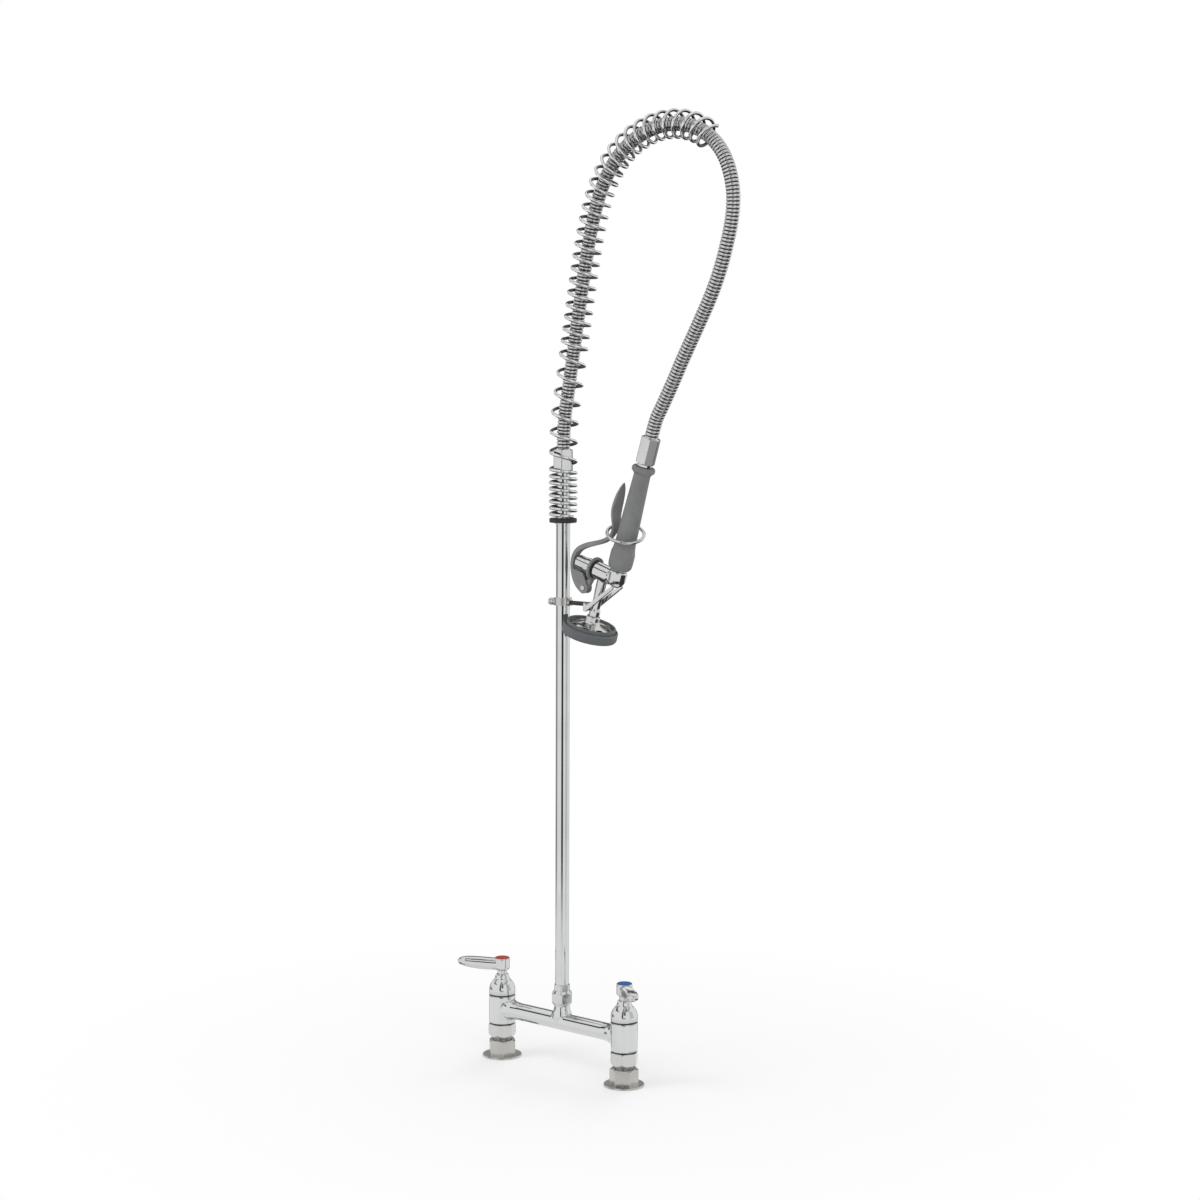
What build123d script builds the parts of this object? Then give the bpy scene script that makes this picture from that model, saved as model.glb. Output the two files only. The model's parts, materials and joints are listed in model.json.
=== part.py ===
from build123d import *
import os
from math import ceil, cos, dist, pi, radians, sin, sqrt, tan

# Deck mounted pre-rinse faucet: two inlets, a bridge body, a swivelling riser with
# an overhead spring, a flexible hose and a squeeze-lever spray valve on a hook.
# Millimetres. The origin lies at deck level midway between the inlets, +X runs from
# the hot side to the cold side, +Y points to the wall and +Z is up.

# General clearances
thread_gap = 0.1
running_gap = 0.05
seat_gap = 0.3
face_gap = 0.1
edge_break = 0.7

# Inlets on the deck
inlet_centres = 203.2
flange_radius = 25.4
flange_thickness = 2.2
shank_flats = 31.75
shank_corner_radius = 18.0
shank_hex_height = 19.3
shank_hex_chamfer = 2.6
inlet_thread_radius = 9.2
inlet_thread_length = 15.0
waterway_radius = 7.5
nipple_radius = 11.0
nipple_exposed = 6.0
collar_radius = 13.2
collar_height = 2.0
hot_shank_turn = 18.0
cold_shank_turn = 33.0

# Coupling nuts and washers under the towers
nut_flats = 32.0
nut_corner_radius = 17.75
nut_lip = 2.0
nut_height = 17.5
nut_chamfer = 2.4
washer_thickness = 2.0
washer_bore = 8.0
hot_nut_turn = 22.0
cold_nut_turn = 30.0

# Body towers and bridge
spigot_radius = 13.85
tower_radius = 16.75
tower_height = 37.2
chamber_radius = 12.1
chamber_floor = 8.7
chamber_height = 18.5
bonnet_bore_radius = 14.2
bridge_height = 18.7
bridge_radius = 11.0
flare_radius = 13.5
flare_length = 14.0
flare_overlap = 5.0

# Centre outlet
bell_belly_radius = 12.4
bell_belly_height = 9.0
bell_neck_radius = 9.2
bell_height = 22.0
bell_waist = 0.62
outlet_radius = 11.5
outlet_height = 11.0

# Cartridges, discs and stems
cartridge_flange_radius = 13.9
cartridge_flange = 2.0
cartridge_inlet_radius = 5.5
cartridge_floor = 4.7
disc_chamber_radius = 8.0
disc_chamber_height = 11.0
window_width = 7.0
window_height = 4.2
disc_thickness = 3.0
disc_port_radius = 2.2
disc_port_offset = 3.9
driver_radius = 7.6
driver_height = 2.0
stem_foot_radius = 4.9
stem_radius = 6.25
stem_step = 1.5
stem_visible = 6.0
spline_radius = 4.5
spline_length = 8.0
stem_tap_radius = 2.0
stem_tap_depth = 11.0

# Bonnets and stem seals
bonnet_radius = 16.85
bonnet_skirt = 8.0
bonnet_shoulder_radius = 10.6
bonnet_shoulder_height = 18.8
bonnet_step = 0.6
bonnet_top_radius = 7.4
bonnet_height = 25.0
bonnet_cavity_radius = 8.4
bonnet_roof = 8.2
seal_groove_radius = 8.0
seal_height = 2.4
seal_below_top = 4.0

# Lever handles
hub_radius = 10.5
hub_foot_radius = 7.4
hub_foot_height = 6.5
hub_height = 16.0
button_radius = 9.35
button_height = 2.0
button_recess = 1.5
screw_head_radius = 4.6
screw_head_height = 2.6
screw_pocket_radius = 6.0
handle_floor = 2.8
handle_length = 58.0
handle_splay = 52.0
handle_sections = 6

# Riser coupling and adaptor
riser_nut_flats = 25.4
riser_nut_corner_radius = 14.65
riser_nut_lip = 1.5
adaptor_flange_radius = 10.8
adaptor_flange = 1.9
adaptor_shank_radius = 9.0
adaptor_tail_radius = 7.3
adaptor_tail_length = 17.3
adaptor_bore_radius = 5.0
adaptor_flats = 18.4
adaptor_corner_radius = 10.0
adaptor_height = 11.0
socket_floor = 2.6
o_ring_height = 2.4
o_ring_groove_radius = 5.9
o_ring_above_tail = 8.0

# Riser pipe, retaining ring and spring seat
pipe_radius = 8.575
pipe_bore_radius = 6.25
pipe_top = 766.0
ring_groove_radius = 8.1
ring_radius = 10.3
ring_height = 1.2
pipe_above_seat = 71.0
spring_washer_radius = 17.0
spring_washer_height = 5.5

# Hose and its two end nuts
hose_radius = 8.5
hose_bore_radius = 5.5
hose_rib_pitch = 11.0
hose_rib_depth = 0.9
hose_plain_end = 17.0
hose_step = 18.0
gasket_thickness = 2.0
gasket_radius = 8.4
ferrule_radius = 9.0
ferrule_height = 3.0
hose_nut_cavity = 9.2
hose_nut_lip = 5.0
hose_nut_chamfer = 2.0
riser_hose_nut_flats = 22.2
riser_hose_nut_corner_radius = 12.3
pipe_in_nut = 13.0
riser_hose_nut_height = 27.0

# Route of the hose in the plane of the inlets, as (x, z) points chosen along its line,
# from above the riser nut over the arch to above the spray valve's nut. The held part
# and the free part meet midway between the two lists.
held_route = [
    (0.0, 808.0), (10.0, 862.0), (22.0, 932.0), (34.0, 1000.0), (46.0, 1056.0),
    (62.0, 1101.0), (90.0, 1137.0), (129.0, 1159.0), (172.0, 1165.5), (213.0, 1155.0),
    (243.0, 1129.0), (257.5, 1093.0), (259.0, 1056.0),
]
free_route = [(245.0, 1004.0), (229.5, 966.0), (207.0, 926.0), (183.0, 884.0), (165.0, 848.0)]
last_run = 33.0
corner_share = 0.45

# Overhead spring
spring_radius = 15.75
spring_wire = 4.0
spring_wire_sides = 4
tight_half_turns = 15
tight_pitch = 7.75
wide_half_turns = 12
wide_pitch = 24.0
even_half_turns = 54
even_pitch = 14.75

# Hook on the riser
hook_height = 592.0
clamp_radius = 11.0
clamp_height = 9.5
clamp_slot = 1.6
clamp_boss_radius = 4.2
clamp_boss_reach = 13.4
screw_radius = 2.0
knob_radius = 4.5
knob_length = 7.0
knob_flutes = 8
knob_flute_radius = 0.9
rod_radius = 2.7
rod_drop = 1.0
rod_socket = 2.0
fork_back = 42.5
fork_front = 45.7
fork_slot_half = 7.0
prong_width = 4.0
prong_depth = 5.0
prong_slope = 33.5
prong_tip_x = 87.0

# Spray valve frame: the corner where grip axis and body axis meet, and the lean
valve_x = 86.5
valve_above_hook = 32.5
valve_lean = 17.0

# Grip and its tube, along the valve's own upright axis
grip_tube_radius = 7.5
grip_tube_bore = 5.0
grip_tube_foot = 6.0
grip_thread_radius = 9.1
grip_thread_low = 144.0
grip_thread_high = 167.0
grip_low = 4.0
grip_block_curve = 8.5
grip_block_radius = 15.0
grip_block_top = 38.0
grip_waist_radius = 13.0
grip_waist_height = 45.0
grip_top_radius = 10.25
grip_top_height = 135.0
grip_bead_radius = 14.35
grip_high = 143.5
grip_hose_nut_flats = 22.0
grip_hose_nut_corner_radius = 12.2
grip_hose_nut_low = 147.0
grip_hose_nut_height = 33.0

# Valve body, along the valve's own cross axis
elbow_radius = 10.3
body_arm_radius = 9.5
tee_radius = 10.7
tee_right = -8.0
tee_left = -33.0
body_spigot_radius = 9.0
body_spigot_top = 14.0
valve_chamber_radius = 7.05
valve_chamber_end = 5.0
spray_axis = -21.0
neck_top_radius = 6.3
neck_waist_radius = 5.4
neck_waist = -46.0
neck_collar_radius = 6.8
neck_collar_top = -49.0
neck_collar_low = -56.0
neck_spigot_radius = 6.0
neck_spigot_length = 4.5
neck_bore_radius = 4.6

# Valve inside: seat, washer, plunger, spring and packing
seat_left = -16.0
seat_thickness = 3.0
seat_hole_radius = 4.0
seat_washer_radius = 5.6
seat_washer_thickness = 2.0
plunger_radius = 2.0
plunger_head_radius = 3.2
plunger_head = 2.3
plunger_flange = 1.5
valve_spring_radius = 4.6
valve_spring_bore = 3.6
bonnet_neck_radius = 7.4
bonnet_thread_length = 6.0
body_ring_radius = 11.3
body_ring_thickness = 1.8
valve_bonnet_radius = 9.7
valve_bonnet_length = 10.8
cap_radius = 8.5
cap_end_radius = 6.5
cap_chamfer = 2.5
cap_length = 16.0
cap_thread_length = 7.0
cap_recess = 3.5
packing_radius = 4.5
packing_length = 3.0

# Bracket, pin and squeeze lever
bracket_ring_radius = 14.5
bracket_thickness = 2.8
bracket_lug_radius = 5.2
bracket_lug_half = 2.5
pin_x = -44.1
pin_z = -27.6
pin_radius = 2.0
pin_half_length = 5.9
pin_head_radius = 3.0
pin_head = 0.9
cheek_inner = 2.7
cheek_outer = 4.9
cheek_radius = 7.0
cheek_slot_back = -56.0
lever_rib_width = 2.6
lever_rib_height = 1.1
lever_rib_low = 20.0
lever_rib_high = 108.0
blade_half_width = 8.75
blade_tip = 115.5

# Hold-down ring
hold_ring_radius = 22.4
hold_ring_wire = 4.0
hold_ring_height = 57.0
hold_ring_offset = 3.4
hold_ring_lean = 3.6
hold_ring_roll = 18.4

# Spray head
plate_radius = 30.0
plate_thickness = 1.4
rim_width = 3.5
plate_hub_radius = 8.4
plate_rim_height = -69.8
plate_hub_height = -56.1
plate_floor = 2.5
plate_shoulder_radius = 14.0
plate_shoulder_height = -63.2
plate_slots = 8
plate_slot_radius = 22.5
plate_slot_width = 3.4
plate_slot_length = 9.0
cup_radius = 17.2
cup_wall = 1.2
cup_low = -74.0
boss_radius = 2.6
face_screw_radius = 1.5
face_screw_head_radius = 4.2
face_screw_head = 2.0
port_radius = 1.3
port_offset = 4.4
spray_disc_thickness = 1.5
spray_hole_radius = 0.9
spray_rows = [(6, 7.2), (12, 12.6)]
bumper_top_radius = 34.5
bumper_low_radius = 33.0
bumper_top = -68.0
bumper_low = -80.5
bumper_bore_radius = 27.6
bumper_edge = 2.0

# Levels worked out from the sizes above
shank_hex_top = flange_thickness + shank_hex_height
nut_low = shank_hex_top + nipple_exposed - nut_lip
lip_top = nut_low + nut_lip
washer_low = lip_top + collar_height
spigot_low = washer_low + washer_thickness
nut_top = nut_low + nut_height
tower_low = nut_top + seat_gap
tower_top = tower_low + tower_height
bridge_z = tower_low + bridge_height
chamber_low = tower_low + chamber_floor
chamber_top = chamber_low + chamber_height
bonnet_low = chamber_top + cartridge_flange
bonnet_top = tower_top + bonnet_height
hub_low = bonnet_top + stem_visible
hub_top = hub_low + hub_height
disc_low = chamber_low + cartridge_floor
outlet_low = bridge_z + bell_height
outlet_top = outlet_low + outlet_height
adaptor_flange_low = outlet_top + seat_gap
adaptor_flange_top = adaptor_flange_low + adaptor_flange
riser_nut_lip_low = adaptor_flange_top + seat_gap
riser_nut_top = riser_nut_lip_low + riser_nut_lip
adaptor_hex_low = riser_nut_top + seat_gap
adaptor_hex_top = adaptor_hex_low + adaptor_height
pipe_low = adaptor_hex_low + socket_floor
tower_x = inlet_centres / 2
valve_z = hook_height + valve_above_hook
riser_hose_nut_low = pipe_top - pipe_in_nut
spring_seat_height = pipe_top - pipe_above_seat


def turned(points):
    """Solid turned about Z from an outline of (radius, height) points."""
    return revolve(Plane.XZ * make_face(Polyline(*points, close=True)), Axis.Z)


def turned_x(points):
    """Solid turned about X from an outline of (x, radius) points."""
    return revolve(Plane.XZ * make_face(Polyline(*points, close=True)), Axis.X)


def rod_z(radius, low, high):
    """Upright round bar between two heights."""
    return Pos(0, 0, (low + high) / 2) * Cylinder(radius, high - low)


def tube_z(outer, inner, low, high):
    """Upright round tube between two heights."""
    return rod_z(outer, low, high) - rod_z(inner, low, high)


def rod_x(radius, left, right):
    """Round bar along X between two stations."""
    return Pos((left + right) / 2, 0, 0) * Rot(0, 90, 0) * Cylinder(radius, right - left)


def rod_y(radius, half_length):
    """Round bar along Y, centred on the plane of symmetry."""
    return Rot(90, 0, 0) * Cylinder(radius, 2 * half_length)


def hexagon(flats, low, high, turn=0.0):
    """Hexagonal bar between two heights, one corner at the given turn from +X."""
    outline = RegularPolygon(flats / 2, 6, major_radius=False)
    return Pos(0, 0, low) * Rot(0, 0, turn) * extrude(outline, high - low)


def hex_nut(flats, corner_radius, low, high, low_chamfer, high_chamfer, turn=0.0):
    """Hexagon whose corners are turned down and chamfered at both ends."""
    outline = [(0, low), (corner_radius - low_chamfer, low)]
    if low_chamfer > 0:
        outline.append((corner_radius, low + low_chamfer * 0.6))
    outline += [(corner_radius, high - high_chamfer * 0.6), (corner_radius - high_chamfer, high), (0, high)]
    return hexagon(flats, low, high, turn) & turned(outline)


# Inlets

def inlet_shank(turn):
    """Flanged hexagon on the deck with its nipple and the collar that the nut pulls on."""
    flange = turned([
        (0, 0), (flange_radius, 0), (flange_radius, flange_thickness * 0.5),
        (flange_radius - edge_break, flange_thickness), (0, flange_thickness),
    ])
    head = hex_nut(shank_flats, shank_corner_radius, flange_thickness, shank_hex_top,
                   0.0, shank_hex_chamfer, turn)
    nipple = rod_z(nipple_radius, shank_hex_top, lip_top)
    collar = rod_z(collar_radius, lip_top, washer_low)
    bores = rod_z(inlet_thread_radius, 0, inlet_thread_length) + rod_z(waterway_radius, 0, washer_low)
    return flange + head + nipple + collar - bores


def coupling_nut(turn):
    """Nut that hangs on the collar and screws up onto the body's spigot."""
    blank = hex_nut(nut_flats, nut_corner_radius, nut_low, nut_top, nut_chamfer, edge_break, turn)
    thread = rod_z(spigot_radius + thread_gap, lip_top, nut_top)
    return blank - thread - rod_z(nipple_radius + 2 * thread_gap, nut_low, lip_top)


def inlet_washer():
    return tube_z(collar_radius, washer_bore, washer_low, spigot_low)


# Body

def tower():
    """Outside of one upright: the threaded spigot below and the barrel above."""
    return turned([
        (0, spigot_low), (spigot_radius, spigot_low), (spigot_radius, tower_low),
        (tower_radius - edge_break, tower_low), (tower_radius, tower_low + edge_break),
        (tower_radius, tower_top - edge_break), (tower_radius - edge_break, tower_top), (0, tower_top),
    ])


def tower_bores():
    """Waterway, valve chamber and bonnet thread inside one upright."""
    waterway = rod_z(waterway_radius, spigot_low, chamber_low)
    chamber = rod_z(chamber_radius, chamber_low, chamber_top)
    return waterway + chamber + rod_z(bonnet_bore_radius, chamber_top, tower_top)


def bridge():
    """Cross tube, flared where it meets the two uprights."""
    root = tower_x - tower_radius
    outline = [
        (0, 0), (0, bridge_radius), (root - flare_length, bridge_radius),
        (root - flare_length * 0.4, bridge_radius + (flare_radius - bridge_radius) * 0.3),
        (root, flare_radius), (root + flare_overlap, flare_radius), (root + flare_overlap, 0),
    ]
    half = Pos(0, 0, bridge_z) * turned_x(outline)
    return half + mirror(half, Plane.YZ)


def outlet_bell():
    """Bell-shaped centre outlet with the spigot that carries the riser's nut."""
    belly = (bell_belly_radius, bridge_z + bell_belly_height)
    neck = (bell_neck_radius, outlet_low)
    middle = (bell_neck_radius + (bell_belly_radius - bell_neck_radius) * (1 - bell_waist),
              (belly[1] + neck[1]) / 2)
    outline = [
        Line((0, bridge_z), (bridge_radius, bridge_z)),
        Line((bridge_radius, bridge_z), belly),
        ThreePointArc(belly, middle, neck),
        Line(neck, (0, outlet_low)),
        Line((0, outlet_low), (0, bridge_z)),
    ]
    bell = revolve(Plane.XZ * make_face(outline), Axis.Z)
    return bell + rod_z(outlet_radius, outlet_low, outlet_top)


def faucet_body():
    """One casting: two uprights, the bridge between them and the centre outlet."""
    shell = bridge() + outlet_bell()
    for side in (-1, 1):
        shell += Pos(side * tower_x, 0, 0) * tower()
    shell -= Pos(0, 0, bridge_z) * rod_x(waterway_radius, -tower_x, tower_x)
    shell -= rod_z(adaptor_tail_radius + running_gap, bridge_z, outlet_top)
    for side in (-1, 1):
        shell -= Pos(side * tower_x, 0, 0) * tower_bores()
    return shell


# Cartridge, stem, bonnet and seal

def cartridge():
    """Housing that drops into the upright and holds the two discs."""
    top = chamber_top + cartridge_flange
    shell = rod_z(chamber_radius - thread_gap, chamber_low, top)
    shell += rod_z(cartridge_flange_radius, chamber_top, top)
    shell -= rod_z(cartridge_inlet_radius, chamber_low, disc_low)
    shell -= rod_z(disc_chamber_radius, disc_low, disc_low + disc_chamber_height)
    shell -= rod_z(stem_foot_radius + running_gap, disc_low, top)
    window_z = disc_low + disc_chamber_height - window_height / 2
    return shell - Pos(0, 0, window_z) * Box(2 * tower_radius, window_width, window_height)


def ported_disc(radius, low):
    """Ceramic disc with two ports."""
    disc = rod_z(radius, low, low + disc_thickness)
    for side in (-1, 1):
        disc -= Pos(side * disc_port_offset, 0, 0) * rod_z(disc_port_radius, low, low + disc_thickness)
    return disc


def fixed_disc():
    return ported_disc(disc_chamber_radius - thread_gap, disc_low)


def moving_disc():
    """Disc that the stem turns, crossed to the fixed one while the valve is shut."""
    low = disc_low + disc_thickness + running_gap
    return Rot(0, 0, 90) * ported_disc(disc_chamber_radius - seat_gap, low)


def stem():
    """Spindle from the moving disc up through the bonnet into the handle."""
    low = disc_low + 2 * disc_thickness + 2 * running_gap
    step = bonnet_low + stem_step
    spline_top = hub_low + spline_length
    spindle = turned([
        (0, low), (driver_radius, low), (driver_radius, low + driver_height),
        (stem_foot_radius, low + driver_height), (stem_foot_radius, step), (stem_radius, step),
        (stem_radius, hub_low), (spline_radius, hub_low), (spline_radius, spline_top), (0, spline_top),
    ])
    return spindle - rod_z(stem_tap_radius, spline_top - stem_tap_depth, spline_top)


def bonnet():
    """Domed cover nut that clamps the cartridge and guides the stem."""
    skirt_low = tower_top + face_gap
    shoulder = (bonnet_shoulder_radius, tower_top + bonnet_shoulder_height)
    skirt_top = (bonnet_radius, tower_top + bonnet_skirt)
    step = (bonnet_shoulder_radius - bonnet_step, shoulder[1] + bonnet_step / 2)
    top = (bonnet_top_radius, bonnet_top)
    outline = [
        Polyline((0, bonnet_low), (bonnet_bore_radius - thread_gap, bonnet_low),
                 (bonnet_bore_radius - thread_gap, skirt_low), (bonnet_radius - edge_break, skirt_low),
                 (bonnet_radius, skirt_low + edge_break), skirt_top),
        ThreePointArc(skirt_top, (bonnet_radius - 1.6, skirt_top[1] + 6.6), shoulder),
        Line(shoulder, step),
        ThreePointArc(step, (bonnet_top_radius + 2.0, bonnet_top - 2.4), top),
        Polyline(top, (0, bonnet_top), (0, bonnet_low)),
    ]
    dome = revolve(Plane.XZ * make_face(outline), Axis.Z)
    dome -= rod_z(bonnet_cavity_radius, bonnet_low, bonnet_top - bonnet_roof)
    dome -= rod_z(stem_radius + running_gap, bonnet_low, bonnet_top)
    groove_low = bonnet_top - seal_below_top - seal_height
    return dome - rod_z(seal_groove_radius, groove_low, groove_low + seal_height)


def stem_seal():
    low = bonnet_top - seal_below_top - seal_height
    return tube_z(seal_groove_radius, stem_radius + running_gap, low, low + seal_height)


# Handles, modelled with the lever along +X and then turned to their splay

def handle_section(share):
    """Half width, half height and level of the lever at a share of its length."""
    swell = sin(pi * max(share - 0.28, 0) / 0.72)
    width = 6.2 + 5.2 * swell - 2.2 * max(share - 0.86, 0) / 0.14
    height = 5.2 - 1.6 * share - 2.0 * max(share - 0.86, 0) / 0.14
    level = hub_low + 9.4 + 6.0 * share ** 1.4
    return width, height, level


def lever_handle():
    """Hub and leaf-shaped lever in one casting."""
    hub = turned([
        (0, hub_low + face_gap), (hub_foot_radius, hub_low + face_gap),
        (hub_radius, hub_low + hub_foot_height), (hub_radius, hub_top - edge_break),
        (hub_radius - edge_break, hub_top), (0, hub_top),
    ])
    sections = []
    for index in range(handle_sections):
        share = index / (handle_sections - 1)
        width, height, level = handle_section(share)
        station = Plane(origin=(handle_length * (0.06 + 0.94 * share), 0, level),
                        x_dir=(0, 1, 0), z_dir=(1, 0, 0))
        sections.append(station * Ellipse(width, height))
    handle = hub + loft(sections)
    recess_low = hub_top - button_recess
    handle -= rod_z(button_radius + thread_gap, recess_low, hub_top + hub_height)
    handle -= rod_z(screw_pocket_radius, hub_low + spline_length + handle_floor, recess_low)
    handle -= rod_z(stem_tap_radius + 0.4, hub_low, recess_low)
    return handle - rod_z(spline_radius + running_gap, hub_low, hub_low + spline_length + thread_gap)


def handle_screw():
    """Screw through the hub's floor into the stem."""
    seat = hub_low + spline_length + handle_floor
    shank = rod_z(stem_tap_radius - thread_gap, hub_low, seat)
    head = turned([
        (0, seat), (screw_head_radius, seat), (screw_head_radius, seat + screw_head_height * 0.6),
        (screw_head_radius * 0.6, seat + screw_head_height), (0, seat + screw_head_height),
    ])
    slot = Pos(0, 0, seat + screw_head_height) * Box(3 * screw_head_radius, 1.0, 2.0)
    return shank + head - slot


def index_button():
    """Plain coloured cap in the top of the hub."""
    low = hub_top - button_recess
    high = low + button_height
    return turned([
        (0, low), (button_radius, low), (button_radius, high - 0.5),
        (button_radius - 0.8, high), (0, high),
    ])


# Riser coupling

def riser_coupling_nut():
    """Barrel nut that holds the riser's adaptor down and lets it swivel."""
    bulge = turned([
        (0, outlet_low), (riser_nut_corner_radius - 2.4, outlet_low),
        (riser_nut_corner_radius, outlet_low + 3.6), (riser_nut_corner_radius, riser_nut_top - 4.4),
        (riser_nut_corner_radius - 3.1, riser_nut_top), (0, riser_nut_top),
    ])
    blank = hexagon(riser_nut_flats, outlet_low, riser_nut_top, 12.0) & bulge
    blank -= rod_z(outlet_radius + thread_gap, outlet_low, riser_nut_lip_low)
    return blank - rod_z(adaptor_shank_radius + running_gap, riser_nut_lip_low, riser_nut_top)


def riser_adaptor():
    """Swivel tail, flange and pipe socket in one turned piece."""
    tail_low = outlet_top - adaptor_tail_length
    groove_low = tail_low + o_ring_above_tail
    groove_high = groove_low + o_ring_height
    spindle = turned([
        (0, tail_low), (adaptor_tail_radius, tail_low), (adaptor_tail_radius, groove_low),
        (o_ring_groove_radius, groove_low), (o_ring_groove_radius, groove_high),
        (adaptor_tail_radius, groove_high), (adaptor_tail_radius, adaptor_flange_low),
        (adaptor_flange_radius, adaptor_flange_low), (adaptor_flange_radius, adaptor_flange_top),
        (adaptor_shank_radius, adaptor_flange_top), (adaptor_shank_radius, adaptor_hex_low),
        (0, adaptor_hex_low),
    ])
    socket = hex_nut(adaptor_flats, adaptor_corner_radius, adaptor_hex_low, adaptor_hex_top, 0.5, 1.0, 5.0)
    piece = spindle + socket - rod_z(adaptor_bore_radius, tail_low, adaptor_hex_top)
    return piece - rod_z(pipe_radius + running_gap, pipe_low, adaptor_hex_top)


def swivel_o_ring():
    low = outlet_top - adaptor_tail_length + o_ring_above_tail
    return tube_z(adaptor_tail_radius, o_ring_groove_radius, low, low + o_ring_height)


# Riser pipe and what sits on it

def riser_pipe():
    """Long pipe with the groove for the ring that carries the spring."""
    pipe = tube_z(pipe_radius, pipe_bore_radius, pipe_low, pipe_top)
    low = spring_seat_height - spring_washer_height - ring_height
    return pipe - tube_z(pipe_radius + 1, ring_groove_radius, low, low + ring_height)


def spring_retaining_ring():
    low = spring_seat_height - spring_washer_height - ring_height
    ring = tube_z(ring_radius, ring_groove_radius, low, low + ring_height)
    return ring - Pos(0, ring_radius, low + ring_height / 2) * Box(6, 2 * ring_radius - 8, ring_height)


def spring_washer():
    """Rubber washer that the spring stands on."""
    low = spring_seat_height - spring_washer_height
    return turned([
        (pipe_radius + thread_gap, low), (spring_washer_radius - 0.8, low),
        (spring_washer_radius, low + 0.8), (spring_washer_radius, spring_seat_height - 0.8),
        (spring_washer_radius - 0.8, spring_seat_height), (pipe_radius + thread_gap, spring_seat_height),
    ])


def hose_nut(flats, corner_radius, low, height, thread_radius, thread_high):
    """Long hexagon nut with a lip that holds the hose's ferrule."""
    high = low + height
    blank = hex_nut(flats, corner_radius, low, high, hose_nut_chamfer, hose_nut_chamfer)
    blank -= rod_z(thread_radius + thread_gap, low, thread_high)
    blank -= rod_z(hose_nut_cavity, thread_high, high - hose_nut_lip)
    return blank - rod_z(hose_radius + 2 * thread_gap, high - hose_nut_lip, high)


# Hose

def in_valve(x, z):
    """World (x, z) of a point given in the spray valve's own frame."""
    lean = radians(valve_lean)
    return valve_x + x * cos(lean) + z * sin(lean), valve_z - x * sin(lean) + z * cos(lean)


def route_ends():
    """First point of the hose at the riser's gasket, and its last two at the spray valve's."""
    finish_low = grip_thread_high + gasket_thickness
    start = (0.0, pipe_top + gasket_thickness)
    return start, [in_valve(0, finish_low + last_run), in_valve(0, finish_low)]


def corner_radii(points):
    """Fillet radius at each corner: a share of the shorter run over the tangent of half the turn."""
    radii = []
    for before, here, after in zip(points, points[1:], points[2:]):
        run_in = Vector(*here) - Vector(*before)
        run_out = Vector(*after) - Vector(*here)
        half_turn = radians(run_in.get_angle(run_out)) / 2
        radii.append(corner_share * min(run_in.length, run_out.length) / tan(half_turn))
    return radii


def split_route():
    """Centre lines of the held part and of the free part, straight runs joined by tangent arcs."""
    start, finish = route_ends()
    near, far = held_route[-1], free_route[0]
    joint = ((near[0] + far[0]) / 2, (near[1] + far[1]) / 2)
    radii = corner_radii([start] + held_route + free_route + finish)
    print("hose radii", [round(radius) for radius in radii])
    held_line = FilletPolyline(start, *held_route, joint, radius=radii[:len(held_route)])
    free_line = FilletPolyline(joint, *free_route, *finish, radius=radii[len(held_route):])
    return Plane.XZ * held_line, Plane.XZ * free_line


def across(line, distance):
    """Plane square to a line at a distance along it, with Y as its steady X axis."""
    share = distance / line.length
    return Plane(origin=line @ share, x_dir=(0, 1, 0), z_dir=line % share)


def tube_along(line, radius, step):
    """Round bar along a line, as a ruled loft through evenly spaced circles."""
    count = ceil(line.length / step)
    circles = [across(line, line.length * index / count) * Circle(radius) for index in range(count + 1)]
    return loft(circles, ruled=True)


def hose_upper(line):
    """Held part of the hose: ferrule and a plain tube with its bore."""
    low = pipe_top + gasket_thickness
    tube = tube_along(line, hose_radius, hose_step) - tube_along(line, hose_bore_radius, hose_step)
    return tube + tube_z(ferrule_radius, hose_bore_radius, low, low + ferrule_height)


def rib_stations(length):
    """Distance and radius of each circle of the ribbed hose, plain for a diameter at both ends."""
    free = length - 2 * hose_plain_end
    ribs = int(free // hose_rib_pitch)
    pitch = free / ribs
    valley = hose_radius - hose_rib_depth
    stations = [(0.0, hose_radius)]
    for index in range(ribs):
        start = hose_plain_end + index * pitch
        stations += [(start, valley), (start + 0.2 * pitch, hose_radius),
                     (start + 0.65 * pitch, hose_radius), (start + 0.85 * pitch, valley)]
    return stations + [(length - hose_plain_end, valley), (length - hose_plain_end + 1, hose_radius),
                       (length, hose_radius)]


def hose_lower(line):
    """Free part of the hose, with ribs round it."""
    circles = [across(line, distance) * Circle(radius) for distance, radius in rib_stations(line.length)]
    tube = loft(circles, ruled=True) - tube_along(line, hose_bore_radius, hose_step)
    low = grip_thread_high + gasket_thickness
    return tube + in_valve_frame(tube_z(ferrule_radius, hose_bore_radius, low, low + ferrule_height))


# Overhead spring

def half_turn_stations():
    """Distance along the spring's centre line at each half turn."""
    pitches = ([tight_pitch] * tight_half_turns + [wide_pitch] * wide_half_turns
               + [even_pitch] * even_half_turns)
    stations = [0.0]
    for pitch in pitches:
        stations.append(stations[-1] + pitch / 2)
    return stations


def spring_centre(line, distance):
    """Point and direction on the spring's centre line, which follows riser and hose."""
    first = spring_seat_height + seat_gap + spring_wire / 2 + tight_pitch * spring_wire / (2 * pi * spring_radius)
    height = first + distance
    hose_low = pipe_top + gasket_thickness
    if height <= hose_low:
        return Vector(0, 0, height), Vector(0, 0, 1)
    share = min((height - hose_low) / line.length, 1.0)
    return line @ share, line % share


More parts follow.
